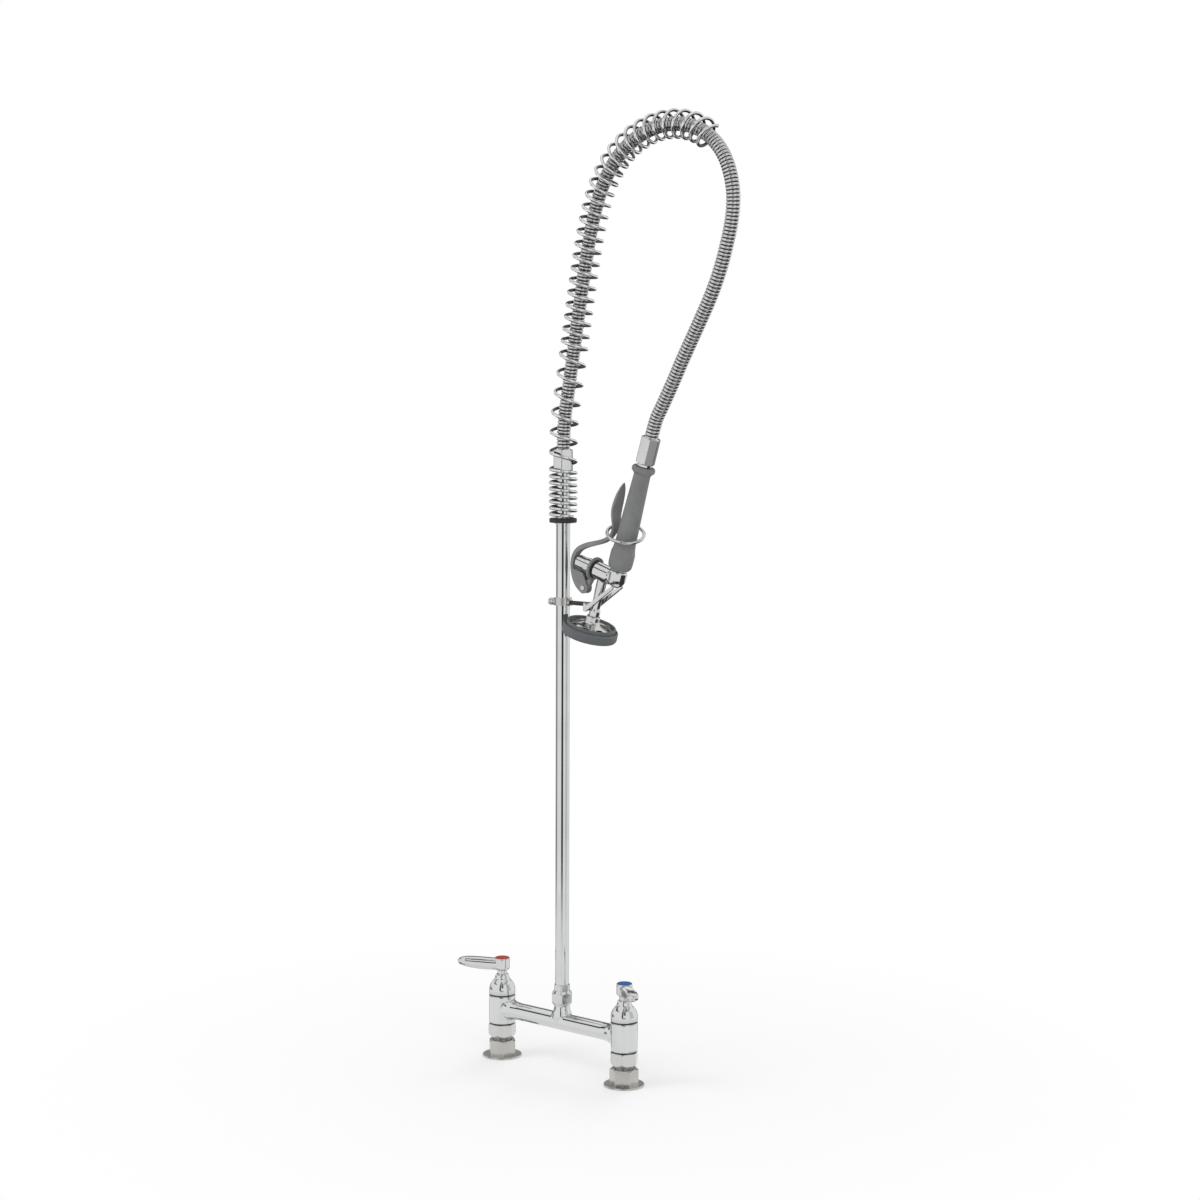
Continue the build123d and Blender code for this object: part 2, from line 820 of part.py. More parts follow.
def spring_point(line, stations, half_turns):
    """Point on the wire's own centre line after a number of half turns."""
    index = min(max(int(half_turns), 0), len(stations) - 2)
    distance = stations[index] + (half_turns - index) * (stations[index + 1] - stations[index])
    centre, direction = spring_centre(line, distance)
    side = Vector(0, 1, 0)
    out = side.cross(direction)
    angle = pi * half_turns
    return centre + out * (spring_radius * cos(angle)) - side * (spring_radius * sin(angle))


def biarc(start, start_dir, end, end_dir):
    """Two tangent arcs between two points with given directions."""
    chord = end - start
    both = start_dir + end_dir
    bend = 2 * (1 - start_dir.dot(end_dir))
    along = chord.dot(both)
    reach = (sqrt(along * along + bend * chord.dot(chord)) - along) / bend
    middle = (start + start_dir * reach + end - end_dir * reach) / 2
    first = TangentArc(start, middle, tangent=start_dir)
    second = TangentArc(end, middle, tangent=-end_dir)
    return first, Edge.make_three_point_arc(middle, second @ 0.5, end)


def overhead_spring(line):
    """Left-handed open coil spring over riser and hose, as one unbroken faceted wire."""
    stations = half_turn_stations()
    count = len(stations) - 1
    step = 0.01
    points = [spring_point(line, stations, index) for index in range(count + 1)]
    tangents = [(spring_point(line, stations, index + step)
                 - spring_point(line, stations, index - step)).normalized() for index in range(count + 1)]
    lead_in = points[0] - tangents[0] * spring_wire
    lead_out = points[-1] + tangents[-1] * spring_wire
    edges = [Edge.make_line(lead_in, points[0])]
    for index in range(count):
        edges += biarc(points[index], tangents[index], points[index + 1], tangents[index + 1])
    edges.append(Edge.make_line(points[-1], lead_out))
    path = Wire(edges)
    start = Plane(origin=lead_in, z_dir=tangents[0])
    print_spring_gap(line, stations)
    return sweep(start * RegularPolygon(spring_wire / 2, spring_wire_sides), path, clean=False)


def print_spring_gap(line, stations):
    """Least gap between turns, measured on points of the wire's centre line."""
    per_half_turn = 12
    count = (len(stations) - 1) * per_half_turn
    points = [tuple(spring_point(line, stations, index / per_half_turn)) for index in range(count + 1)]
    least = min(dist(points[one], points[two])
                for one in range(count + 1)
                for two in range(one + per_half_turn, min(one + 3 * per_half_turn, count + 1)))
    print("spring turns", (len(stations) - 1) / 2, "least gap", round(least - spring_wire, 2))


# Hook

def rod_height():
    return hook_height - rod_drop


def hook_clamp():
    """Split collar on the riser, with bosses for the rod and for the thumb screw."""
    low = hook_height - clamp_height / 2
    high = hook_height + clamp_height / 2
    collar = rod_z(clamp_radius, low, high)
    boss = Pos(0, 0, rod_height()) * rod_x(clamp_boss_radius, -clamp_boss_reach, clamp_boss_reach)
    clamp = collar + boss - rod_z(pipe_radius + thread_gap, low - clamp_height, high)
    clamp -= Pos(0, clamp_radius, hook_height) * Box(clamp_slot, 2 * clamp_radius, 2 * clamp_height)
    rod_hole = rod_x(rod_radius, clamp_boss_reach - rod_socket, clamp_boss_reach)
    screw_hole = rod_x(screw_radius + running_gap, -clamp_boss_reach, 0)
    return clamp - Pos(0, 0, rod_height()) * (rod_hole + screw_hole)


def hook_rod():
    reach = rod_x(rod_radius, clamp_boss_reach - rod_socket, fork_front - 1)
    return Pos(0, 0, rod_height()) * reach


def hook_fork():
    """Two flat prongs on a cross bar, with the slot that takes the sprayer's neck."""
    outer = fork_slot_half + prong_width
    root = (fork_front, rod_height())
    inner_drop = sqrt(elbow_radius ** 2 - fork_slot_half ** 2 - (prong_tip_x - valve_x) ** 2)
    tip_top = valve_z - inner_drop - seat_gap
    slope = radians(prong_slope)
    reach = (prong_tip_x - fork_back) / cos(slope)
    lift = tip_top - prong_depth * cos(slope) / 2 - reach * sin(slope) / 2
    prong_centre = ((prong_tip_x + fork_back) / 2, lift)
    bar = Pos((fork_back + fork_front) / 2, 0, root[1]) * Box(fork_front - fork_back, 2 * outer, 8.0)
    fork = bar
    for side in (-1, 1):
        prong = Box(reach, prong_width, prong_depth)
        prong = fillet(prong.edges().filter_by(Axis.Y).group_by(Axis.X)[-1], prong_depth * 0.45)
        y = side * (fork_slot_half + prong_width / 2)
        fork += Pos(prong_centre[0], y, prong_centre[1]) * Rot(0, -prong_slope, 0) * prong
    return fork - Pos(0, 0, rod_height()) * rod_x(rod_radius, fork_back - 1, fork_front - 1)


def thumb_screw():
    """Knurled knob and the screw that grips the riser."""
    knob_right = -clamp_boss_reach - seat_gap
    knob_left = knob_right - knob_length
    knob = rod_x(knob_radius, knob_left, knob_right)
    for index in range(knob_flutes):
        angle = 2 * pi * index / knob_flutes
        flute = rod_x(knob_flute_radius, knob_left, knob_right)
        knob -= Pos(0, knob_radius * cos(angle), knob_radius * sin(angle)) * flute
    shank = rod_x(screw_radius, knob_right, -pipe_radius - seat_gap)
    return Pos(0, 0, rod_height()) * (knob + shank)


# Spray valve, modelled in its own frame and then leaned

def in_valve_frame(shape):
    """Put a piece from the valve's own frame in its place on the faucet."""
    return Location((valve_x, 0, valve_z), (0, valve_lean, 0)) * shape


def grip_tube():
    """Metal tube inside the grip, with the thread for the hose nut."""
    tube = rod_z(grip_tube_radius, grip_tube_foot, grip_thread_low)
    tube += rod_z(grip_thread_radius, grip_thread_low, grip_thread_high)
    return tube - rod_z(grip_tube_bore, grip_tube_foot, grip_thread_high)


def grip():
    """Insulating grip: rounded block below, tapered barrel and a bead above."""
    outline = [
        Line((0, grip_low), (grip_block_radius - 4, grip_low)),
        ThreePointArc((grip_block_radius - 4, grip_low), (grip_block_radius - 1, grip_low + 2.2),
                      (grip_block_radius, grip_low + grip_block_curve)),
        Line((grip_block_radius, grip_low + grip_block_curve), (grip_block_radius, grip_block_top - 3)),
        ThreePointArc((grip_block_radius, grip_block_top - 3), (grip_block_radius - 0.9, grip_block_top + 1.4),
                      (grip_waist_radius, grip_waist_height)),
        Line((grip_waist_radius, grip_waist_height), (grip_top_radius, grip_top_height)),
        Line((grip_top_radius, grip_top_height), (grip_bead_radius - 1.6, grip_top_height + 1.6)),
        ThreePointArc((grip_bead_radius - 1.6, grip_top_height + 1.6),
                      (grip_bead_radius, (grip_top_height + 1.6 + grip_high) / 2),
                      (grip_bead_radius - 1.6, grip_high)),
        Line((grip_bead_radius - 1.6, grip_high), (0, grip_high)),
        Line((0, grip_high), (0, grip_low)),
    ]
    barrel = revolve(Plane.XZ * make_face(outline), Axis.Z)
    barrel -= rod_z(body_spigot_radius + thread_gap, grip_low, body_spigot_top + thread_gap)
    barrel -= rod_x(tee_radius + seat_gap, -2 * grip_block_radius, 2 * grip_block_radius)
    return barrel - rod_z(grip_tube_radius + thread_gap, grip_low, grip_high)


def valve_body():
    """Chrome casting: elbow, tee, spigot into the grip and the neck of the sprayer."""
    elbow = Sphere(elbow_radius) + rod_z(body_spigot_radius, 0, body_spigot_top)
    arm = rod_x(body_arm_radius, tee_right, 0)
    tee = turned_x([
        (tee_left, 0), (tee_left, tee_radius - 0.6), (tee_left + 0.6, tee_radius),
        (tee_right - 1.2, tee_radius), (tee_right, tee_radius - 1.2), (tee_right, 0),
    ])
    neck = Pos(spray_axis, 0, 0) * turned([
        (0, -2), (neck_top_radius, -2), (neck_top_radius, -16), (neck_waist_radius, neck_waist),
        (neck_collar_radius, neck_collar_top), (neck_collar_radius, neck_collar_low),
        (neck_spigot_radius, neck_collar_low), (neck_spigot_radius, neck_collar_low - neck_spigot_length),
        (0, neck_collar_low - neck_spigot_length),
    ])
    body = elbow + arm + tee + neck
    body -= rod_x(valve_chamber_radius, tee_left, valve_chamber_end)
    body -= rod_z(grip_tube_bore, 0, body_spigot_top)
    body -= rod_z(grip_tube_radius + running_gap, grip_tube_foot, body_spigot_top)
    spigot_end = neck_collar_low - neck_spigot_length
    return body - Pos(spray_axis, 0, 0) * rod_z(neck_bore_radius, spigot_end, 0)


def valve_seat():
    """Ring with the hole that the washer shuts."""
    right = seat_left + seat_thickness
    ring = rod_x(valve_chamber_radius - running_gap, seat_left, right)
    return ring - rod_x(seat_hole_radius, seat_left, right)


def seat_washer():
    left = seat_left + seat_thickness + face_gap
    ring = rod_x(seat_washer_radius, left, left + seat_washer_thickness)
    return ring - rod_x(plunger_radius, left, left + seat_washer_thickness)


def flange_left():
    return seat_left + seat_thickness + face_gap + seat_washer_thickness


def cap_left():
    return bracket_left() - valve_bonnet_length - cap_length - 2 * face_gap


def bracket_left():
    return tee_left - body_ring_thickness - bracket_thickness - 2 * face_gap


def valve_plunger():
    """Stem that the lever pushes in, with the flange behind the seat washer."""
    head_right = cap_left() - seat_gap
    stem_part = rod_x(plunger_radius, head_right, flange_left())
    head = turned_x([
        (head_right - plunger_head, 0), (head_right - plunger_head, plunger_head_radius * 0.55),
        (head_right - plunger_head * 0.6, plunger_head_radius), (head_right, plunger_head_radius),
        (head_right, 0),
    ])
    return stem_part + head + rod_x(seat_washer_radius, flange_left(), flange_left() + plunger_flange)


def valve_spring():
    """Closing spring behind the flange, as its envelope."""
    left = flange_left() + plunger_flange + seat_gap
    right = valve_chamber_end - seat_gap
    return rod_x(valve_spring_radius, left, right) - rod_x(valve_spring_bore, left, right)


def body_o_ring():
    """Black ring between the tee and the lever's bracket."""
    right = tee_left - face_gap
    left = right - body_ring_thickness + face_gap
    return rod_x(body_ring_radius, left, right) - rod_x(bonnet_neck_radius + thread_gap, left, right)


def lever_bracket():
    """Ring clamped on the body with the lug that carries the pin."""
    left = bracket_left()
    right = left + bracket_thickness
    ring = rod_x(bracket_ring_radius, left, right)
    root = Pos((left + right) / 2, -bracket_ring_radius + 2.2) * Rectangle(right - left, 4)
    eye = Pos(pin_x, pin_z) * Circle(bracket_lug_radius)
    lug = extrude(Plane.XZ * make_hull(root.edges() + eye.edges()), bracket_lug_half, both=True)
    bracket = ring + lug - rod_x(bonnet_neck_radius + thread_gap, left, right)
    return bracket - Pos(pin_x, 0, pin_z) * rod_y(pin_radius, pin_half_length)


def valve_bonnet():
    """Bonnet screwed into the tee, with the packing's recess in its end."""
    right = tee_left + bonnet_thread_length
    shoulder = bracket_left() - face_gap
    left = shoulder - valve_bonnet_length
    end = left - cap_thread_length
    bonnet_piece = turned_x([
        (end, 0), (end, bonnet_neck_radius), (left, bonnet_neck_radius), (left, valve_bonnet_radius - 0.8),
        (left + 0.8, valve_bonnet_radius), (shoulder - 0.8, valve_bonnet_radius),
        (shoulder, valve_bonnet_radius - 0.8), (shoulder, bonnet_neck_radius), (tee_left, bonnet_neck_radius),
        (tee_left, valve_chamber_radius - thread_gap), (right, valve_chamber_radius - thread_gap), (right, 0),
    ])
    bonnet_piece -= rod_x(packing_radius + running_gap, end, end + packing_length + face_gap)
    return bonnet_piece - rod_x(plunger_radius + running_gap, end, right)


def stem_packing():
    left = bracket_left() - face_gap - valve_bonnet_length - cap_thread_length
    ring = rod_x(packing_radius, left + face_gap, left + packing_length)
    return ring - rod_x(plunger_radius + running_gap, left + face_gap, left + packing_length)


def bonnet_cap():
    """Round cap over the bonnet's end, which the plunger's head comes out of."""
    left = cap_left()
    right = left + cap_length
    cap = turned_x([
        (left, 0), (left, cap_end_radius), (left + cap_chamfer, cap_radius), (right, cap_radius), (right, 0),
    ])
    cap -= rod_x(bonnet_neck_radius + thread_gap, right - cap_thread_length - face_gap, right)
    cap -= rod_x(plunger_head_radius + 0.3, left, left + cap_recess)
    return cap - rod_x(plunger_radius + running_gap, left, right)


def lever_pin():
    """Riveted pin through the lug and the lever's cheeks."""
    pin = rod_y(pin_radius, pin_half_length)
    for side in (-1, 1):
        head = Pos(0, side * (pin_half_length - pin_head / 2), 0) * rod_y(pin_head_radius, pin_head / 2)
        pin += head
    return Pos(pin_x, 0, pin_z) * pin


def lever_profile():
    """Side view of the lever: cheeks at the pin, bowed arm and straight blade."""
    outer = Spline((-47.5, -33.72), (-59, -27.5), (-68.5, -15), (-73, 0), (-70.5, 13), (-61, 23.5),
                   (-47.5, 31.5), (-33, 40), (-24.3, 49.5), (-22, 57), (-26, 75), (-26.8, 92),
                   (-24, 116))
    inner = Spline((-22.3, 116), (-23.6, 92), (-22.6, 75), (-18.6, 57), (-20.6, 48), (-28, 38),
                   (-43, 28), (-56, 20.2), (-65.4, 11.5), (-68, 3), (-66.8, -10.2))
    cheek_low = (pin_x + cheek_radius * cos(pi / 4), pin_z - cheek_radius * sin(pi / 4))
    cheek_right = (pin_x + cheek_radius * 0.8, pin_z + cheek_radius * 0.6)
    outline = [
        outer, Line(outer @ 1, inner @ 0), inner, Line(inner @ 1, (-49.4, -10.2)),
        Line((-49.4, -10.2), cheek_right), ThreePointArc(cheek_right, cheek_low, outer @ 0),
    ]
    return make_face(outline)


def lever_front():
    """Front view of the lever: narrow arm and pointed leaf, as (y, z)."""
    edge = Spline((3.9, 40), (4.4, 52), (6.9, 64), (blade_half_width, 82), (7.9, 96), (4.6, 108), (0, blade_tip))
    half = [Polyline((0, -40), (cheek_outer, -40), (cheek_outer, 14), (3.9, 40)), edge,
            Line((0, blade_tip), (0, -40))]
    return make_face(half)


def squeeze_lever():
    """Lever cut from its side view and its front view, with cheeks and a ribbed blade."""
    slab = extrude(Plane.XZ * lever_profile(), blade_half_width, both=True)
    half_front = Plane.YZ * lever_front()
    front = extrude(half_front, 120, both=True)
    lever = slab & (front + mirror(front, Plane.XZ))
    slot_top = -9.0
    slot = Pos((cheek_slot_back - 30) / 2, 0, (slot_top - 40) / 2)
    lever -= slot * Box(-30 - cheek_slot_back, 2 * cheek_inner, slot_top + 40)
    rib = Pos(-lever_rib_height, 0, 0) * extrude(Plane.XZ * lever_profile(), lever_rib_width / 2, both=True)
    rib_middle = (lever_rib_low + lever_rib_high) / 2
    lever += rib & Pos(0, 0, rib_middle) * Box(4 * blade_tip, blade_half_width, lever_rib_high - lever_rib_low)
    return lever - Pos(pin_x, 0, pin_z) * rod_y(pin_radius + running_gap, cheek_outer + 1)


def hold_down_ring():
    """Wire ring that hangs round grip and lever and locks the lever when pushed up."""
    ring = Torus(hold_ring_radius, hold_ring_wire / 2)
    return Pos(-hold_ring_offset, 0, hold_ring_height) * Rot(hold_ring_roll, hold_ring_lean, 0) * ring


# Spray head, about the neck's axis

def on_neck(shape):
    """Put a piece of the spray head on the neck's axis, in place on the faucet."""
    return in_valve_frame(Pos(spray_axis, 0, 0) * shape)


def spray_plate():
    """Dished plate with its hub, slots and the cup that holds the spray disc."""
    low = plate_hub_height - neck_spigot_length - plate_floor
    rim_low = plate_rim_height - plate_thickness
    dish = turned([
        (0, plate_hub_height), (plate_hub_radius - 0.8, plate_hub_height),
        (plate_hub_radius, plate_hub_height - 0.8), (plate_hub_radius + 0.4, plate_hub_height - 4),
        (plate_shoulder_radius, plate_shoulder_height), (plate_radius - rim_width, plate_rim_height),
        (plate_radius, plate_rim_height), (plate_radius, rim_low), (plate_radius - rim_width, rim_low),
        (plate_shoulder_radius, plate_shoulder_height - plate_thickness - 0.4), (plate_hub_radius, low), (0, low),
    ])
    wall_top = plate_shoulder_height - plate_thickness - 0.6
    cup = tube_z(cup_radius, cup_radius - cup_wall, cup_low, wall_top)
    dish += cup + rod_z(boss_radius, cup_low, low)
    dish -= rod_z(neck_spigot_radius + running_gap, plate_hub_height - neck_spigot_length - face_gap, plate_hub_height)
    dish -= rod_z(face_screw_radius + running_gap, cup_low, low + plate_floor)
    for index in range(4):
        angle = pi / 4 + index * pi / 2
        port = Pos(port_offset * cos(angle), port_offset * sin(angle), 0) * rod_z(port_radius, cup_low, low + plate_floor)
        dish -= port
    for index in range(plate_slots):
        slot = extrude(SlotOverall(plate_slot_length, plate_slot_width), -plate_rim_height, both=True)
        turn = 360 * (index + 0.5) / plate_slots
        dish -= Rot(0, 0, turn) * Pos(plate_slot_radius, 0, plate_rim_height) * Rot(0, 0, 90) * slot
    return dish


def spray_disc():
    """Perforated disc across the cup's mouth."""
    high = cup_low
    low = high - spray_disc_thickness
    disc = turned([
        (0, low + 0.6), (4.6, low), (cup_radius - 0.8, low), (cup_radius, low + 0.5), (cup_radius, high), (0, high),
    ])
    for count, radius in spray_rows:
        for index in range(count):
            angle = 2 * pi * index / count
            place = Pos(radius * cos(angle), radius * sin(angle), 0)
            disc -= place * Pos(0, 0, low) * extrude(RegularPolygon(spray_hole_radius, 6), high - low)
    return disc - rod_z(face_screw_radius + running_gap, low, high)


def face_screw():
    """Screw that holds the disc to the plate's boss."""
    head_top = cup_low - spray_disc_thickness
    shank = rod_z(face_screw_radius, head_top, cup_low + 8)
    head = turned([
        (0, head_top), (face_screw_head_radius, head_top), (face_screw_head_radius, head_top - 0.8),
        (face_screw_head_radius * 0.6, head_top - face_screw_head), (0, head_top - face_screw_head),
    ])
    slot = Pos(0, 0, head_top - face_screw_head) * Box(3 * face_screw_head_radius, 1.0, 1.6)
    return shank + head - slot


def bumper():
    """Rubber ring round the spray head, with a groove for the plate's rim."""
    groove_high = plate_rim_height + running_gap
    groove_low = plate_rim_height - plate_thickness - running_gap
    return turned([
        (bumper_bore_radius, bumper_top - 0.6), (bumper_bore_radius + 0.8, bumper_top),
        (bumper_top_radius - bumper_edge, bumper_top), (bumper_top_radius - 0.5, bumper_top - 0.7),
        (bumper_top_radius, bumper_top - bumper_edge), (bumper_low_radius, bumper_low + 1.2),
        (bumper_low_radius - 1.2, bumper_low), (bumper_bore_radius + 0.8, bumper_low),
        (bumper_bore_radius, bumper_low + 0.8), (bumper_bore_radius, groove_low),
        (plate_radius + thread_gap, groove_low), (plate_radius + thread_gap, groove_high),
        (bumper_bore_radius, groove_high),
    ])


# Assembly

def inlet_nodes():
    """Everything on the deck and under the towers; like pieces share a node."""
    hot = Pos(-tower_x, 0, 0)
    cold = Pos(tower_x, 0, 0)
    return {
        "hot_inlet_shank": hot * inlet_shank(hot_shank_turn),
        "cold_inlet_shank": cold * inlet_shank(cold_shank_turn),
        "coupling_nuts": Compound(children=[hot * coupling_nut(hot_nut_turn), cold * coupling_nut(cold_nut_turn)]),
        "inlet_washers": Compound(children=[hot * inlet_washer(), cold * inlet_washer()]),
    }


def valve_side_nodes(name, side):
    """Cartridge, bonnet, stem and handle of one side; side is -1 for hot and 1 for cold."""
    place = Pos(side * tower_x, 0, 0)
    splay = -90 + side * handle_splay
    swing = place * Rot(0, 0, splay)
    return {
        name + "_cartridge": place * cartridge(),
        name + "_fixed_disc": place * fixed_disc(),
        name + "_moving_disc": place * moving_disc(),
        name + "_stem": place * stem(),
        name + "_bonnet": place * bonnet(),
        name + "_stem_seal": place * stem_seal(),
        name + "_lever_handle": swing * lever_handle(),
        name + "_handle_screw": swing * handle_screw(),
        name + "_index_button": place * index_button(),
    }


def riser_nodes():
    """Coupling, riser pipe, spring and hose."""
    upper_line, lower_line = split_route()
    gasket_low = pipe_top
    return {
        "riser_coupling_nut": riser_coupling_nut(),
        "riser_adaptor": riser_adaptor(),
        "swivel_o_ring": swivel_o_ring(),
        "riser_pipe": riser_pipe(),
        "spring_retaining_ring": spring_retaining_ring(),
        "spring_washer": spring_washer(),
        "overhead_spring": overhead_spring(upper_line),
        "riser_hose_nut": hose_nut(riser_hose_nut_flats, riser_hose_nut_corner_radius, riser_hose_nut_low,
                                   riser_hose_nut_height, pipe_radius, pipe_top),
        "riser_hose_gasket": tube_z(gasket_radius, pipe_bore_radius, gasket_low, gasket_low + gasket_thickness),
        "hose_upper": hose_upper(upper_line),
        "hose_lower": hose_lower(lower_line),
    }


def hook_nodes():
    return {
        "hook_clamp": hook_clamp(),
        "hook_rod": hook_rod(),
        "hook_fork": hook_fork(),
        "thumb_screw": thumb_screw(),
    }


def spray_valve_nodes():
    """Spray valve with its grip, lever and inner parts, leaned into place."""
    nut = hose_nut(grip_hose_nut_flats, grip_hose_nut_corner_radius, grip_hose_nut_low,
                   grip_hose_nut_height, grip_thread_radius, grip_thread_high)
    gasket = tube_z(gasket_radius, grip_tube_bore, grip_thread_high, grip_thread_high + gasket_thickness)
    own_frame = {
        "grip_hose_nut": nut,
        "grip_gasket": gasket,
        "grip_tube": grip_tube(),
        "grip": grip(),
        "valve_body": valve_body(),
        "valve_seat": valve_seat(),
        "seat_washer": seat_washer(),
        "valve_plunger": valve_plunger(),
        "valve_spring": valve_spring(),
        "body_o_ring": body_o_ring(),
        "lever_bracket": lever_bracket(),
        "valve_bonnet": valve_bonnet(),
        "stem_packing": stem_packing(),
        "bonnet_cap": bonnet_cap(),
        "lever_pin": lever_pin(),
        "squeeze_lever": squeeze_lever(),
        "hold_down_ring": hold_down_ring(),
    }
    return {name: in_valve_frame(shape) for name, shape in own_frame.items()}


def spray_head_nodes():
    return {
        "spray_plate": on_neck(spray_plate()),
        "spray_disc": on_neck(spray_disc()),
        "face_screw": on_neck(face_screw()),
        "bumper": on_neck(bumper()),
    }


def main():
    os.makedirs("parts", exist_ok=True)
    nodes = {"faucet_body": faucet_body()}
    nodes.update(inlet_nodes())
    nodes.update(valve_side_nodes("hot", -1))
    nodes.update(valve_side_nodes("cold", 1))
    nodes.update(riser_nodes())
    nodes.update(hook_nodes())
    nodes.update(spray_valve_nodes())
    nodes.update(spray_head_nodes())
    for name, shape in nodes.items():
        export_step(shape, f"parts/{name}.step")
    print(len(nodes), "nodes")


main()
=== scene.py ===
import json
from math import cos, pi, radians, sin

import bpy
from mathutils import Matrix, Vector

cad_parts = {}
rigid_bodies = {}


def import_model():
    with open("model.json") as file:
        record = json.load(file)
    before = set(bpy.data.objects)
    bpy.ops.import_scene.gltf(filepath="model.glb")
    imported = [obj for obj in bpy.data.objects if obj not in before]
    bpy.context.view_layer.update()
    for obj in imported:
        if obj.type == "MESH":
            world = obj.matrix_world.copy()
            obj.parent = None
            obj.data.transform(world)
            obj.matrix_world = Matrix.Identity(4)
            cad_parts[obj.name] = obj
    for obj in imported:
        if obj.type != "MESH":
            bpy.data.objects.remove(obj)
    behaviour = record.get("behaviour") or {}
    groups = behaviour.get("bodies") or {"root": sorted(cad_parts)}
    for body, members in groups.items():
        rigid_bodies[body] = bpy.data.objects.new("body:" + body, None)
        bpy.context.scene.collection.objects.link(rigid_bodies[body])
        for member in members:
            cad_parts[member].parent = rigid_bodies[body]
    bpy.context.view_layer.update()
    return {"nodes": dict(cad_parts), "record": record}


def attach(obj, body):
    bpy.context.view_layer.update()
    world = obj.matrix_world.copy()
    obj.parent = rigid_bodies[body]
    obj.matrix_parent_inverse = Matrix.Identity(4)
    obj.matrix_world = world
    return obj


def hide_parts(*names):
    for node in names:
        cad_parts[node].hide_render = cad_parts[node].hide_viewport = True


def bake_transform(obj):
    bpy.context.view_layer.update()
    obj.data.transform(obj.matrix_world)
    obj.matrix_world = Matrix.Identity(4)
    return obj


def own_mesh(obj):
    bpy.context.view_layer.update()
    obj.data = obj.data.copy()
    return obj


# Pre-rinse faucet: the metal hose, the open coil spring, rounder forms for the cast and
# moulded pieces, and the finishes of every piece, set up as in the photograph. The frame is
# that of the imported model, in metres. Outlines and heights without a unit are millimetres.

for leftover in list(bpy.data.objects):
    bpy.data.objects.remove(leftover)

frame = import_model()
nodes = frame["nodes"]

mm = 0.001
origin = Matrix.Identity(4)

# Camera, fitted to the photograph's 1200 x 1200 frame
photo_side_px = 1200
focal_px = 2396.17
sensor_width = 36.0
view_depth = 50.0
camera_distance = 2.9632
camera_azimuth = 0.7015185
camera_pitch = 0.090222
camera_roll = 0.00386
target_height = 0.59371
target_aside = 0.045845

# Route of the hose in the plane of the inlets, as (x, z) in millimetres
pipe_top = 766.0
gasket_thickness = 2.0
held_route = [
    (0.0, 808.0), (10.0, 862.0), (22.0, 932.0), (34.0, 1000.0), (46.0, 1056.0),
    (62.0, 1101.0), (90.0, 1137.0), (129.0, 1159.0), (172.0, 1165.5), (213.0, 1155.0),
    (243.0, 1129.0), (257.5, 1093.0), (259.0, 1056.0),
]
free_route = [(245.0, 1004.0), (229.5, 966.0), (207.0, 926.0), (183.0, 884.0), (165.0, 848.0)]
light_points = {(165.0, 848.0): 0.25}
route_resolution = 32
tangent_step = 1.0 * mm
valve_corner = (86.5, 624.5)
valve_lean = radians(17.0)
hose_mouth = 169.0
last_run = 33.0

# Hose: bands of the wound metal tube, each as (share of the band, share of the rise)
hose_radius = 8.5 * mm
hose_valley = 7.1 * mm
hose_bore = 5.5 * mm
hose_band = 4.2 * mm
hose_plain = 9.0 * mm
hose_end_step = 0.4 * mm
hose_sides = 32
hose_bore_rings = 90
band_profile = [
    (0.0, 0.0), (0.14, 0.0), (0.22, 0.72), (0.34, 0.98), (0.58, 1.0), (0.80, 0.98), (0.92, 0.72),
]

# Spring: stretches of it as (turns, pitch), and a direction that its wire never takes
spring_foot = 0.69531
spring_radius = 15.75 * mm
spring_wire = 2.0 * mm
spring_sides = 14
spring_steps = 36
spring_turns = [(7.5, 7.75 * mm), (6.0, 24.0 * mm), (27.0, 14.75 * mm)]
pitch_change = 1.2
off_the_wire = Vector((0.031, 0.017, 1.0))


# Mesh helpers

def new_object(name, vertices, faces, smooth=True):
    """Object from plain vertex and face lists."""
    mesh = bpy.data.meshes.new(name)
    mesh.from_pydata([tuple(vertex) for vertex in vertices], [], faces)
    mesh.polygons.foreach_set("use_smooth", [smooth] * len(mesh.polygons))
    mesh.update()
    piece = bpy.data.objects.new(name, mesh)
    bpy.context.scene.collection.objects.link(piece)
    return piece


def round_angles(sides):
    """Angles of points spread evenly round a circle."""
    return [2 * pi * side / sides for side in range(sides)]


def ring_faces(rings, sides, closed=False):
    """Quads between rings of vertices laid out one after another."""
    faces = []
    for ring in range(rings if closed else rings - 1):
        low, high = ring * sides, (ring + 1) % rings * sides
        for side in range(sides):
            after = (side + 1) % sides
            faces.append((low + side, low + after, high + after, high + side))
    return faces


def end_faces(rings, sides):
    """Caps on the first and the last of the rings."""
    last = (rings - 1) * sides
    return [tuple(reversed(range(sides))), tuple(range(last, last + sides))]


def mark_painted_shade(piece, values):
    """Keep a measure at each point, which the metal's shader turns into light and painted shade."""
    piece.data.attributes.new("unshaded_share", "FLOAT", "POINT").data.foreach_set("value", values)


def in_valve(x, z):
    """Row (x, z) in millimetres of a point given in the spray valve's own frame."""
    return (valve_corner[0] + x * cos(valve_lean) + z * sin(valve_lean),
            valve_corner[1] - x * sin(valve_lean) + z * cos(valve_lean))


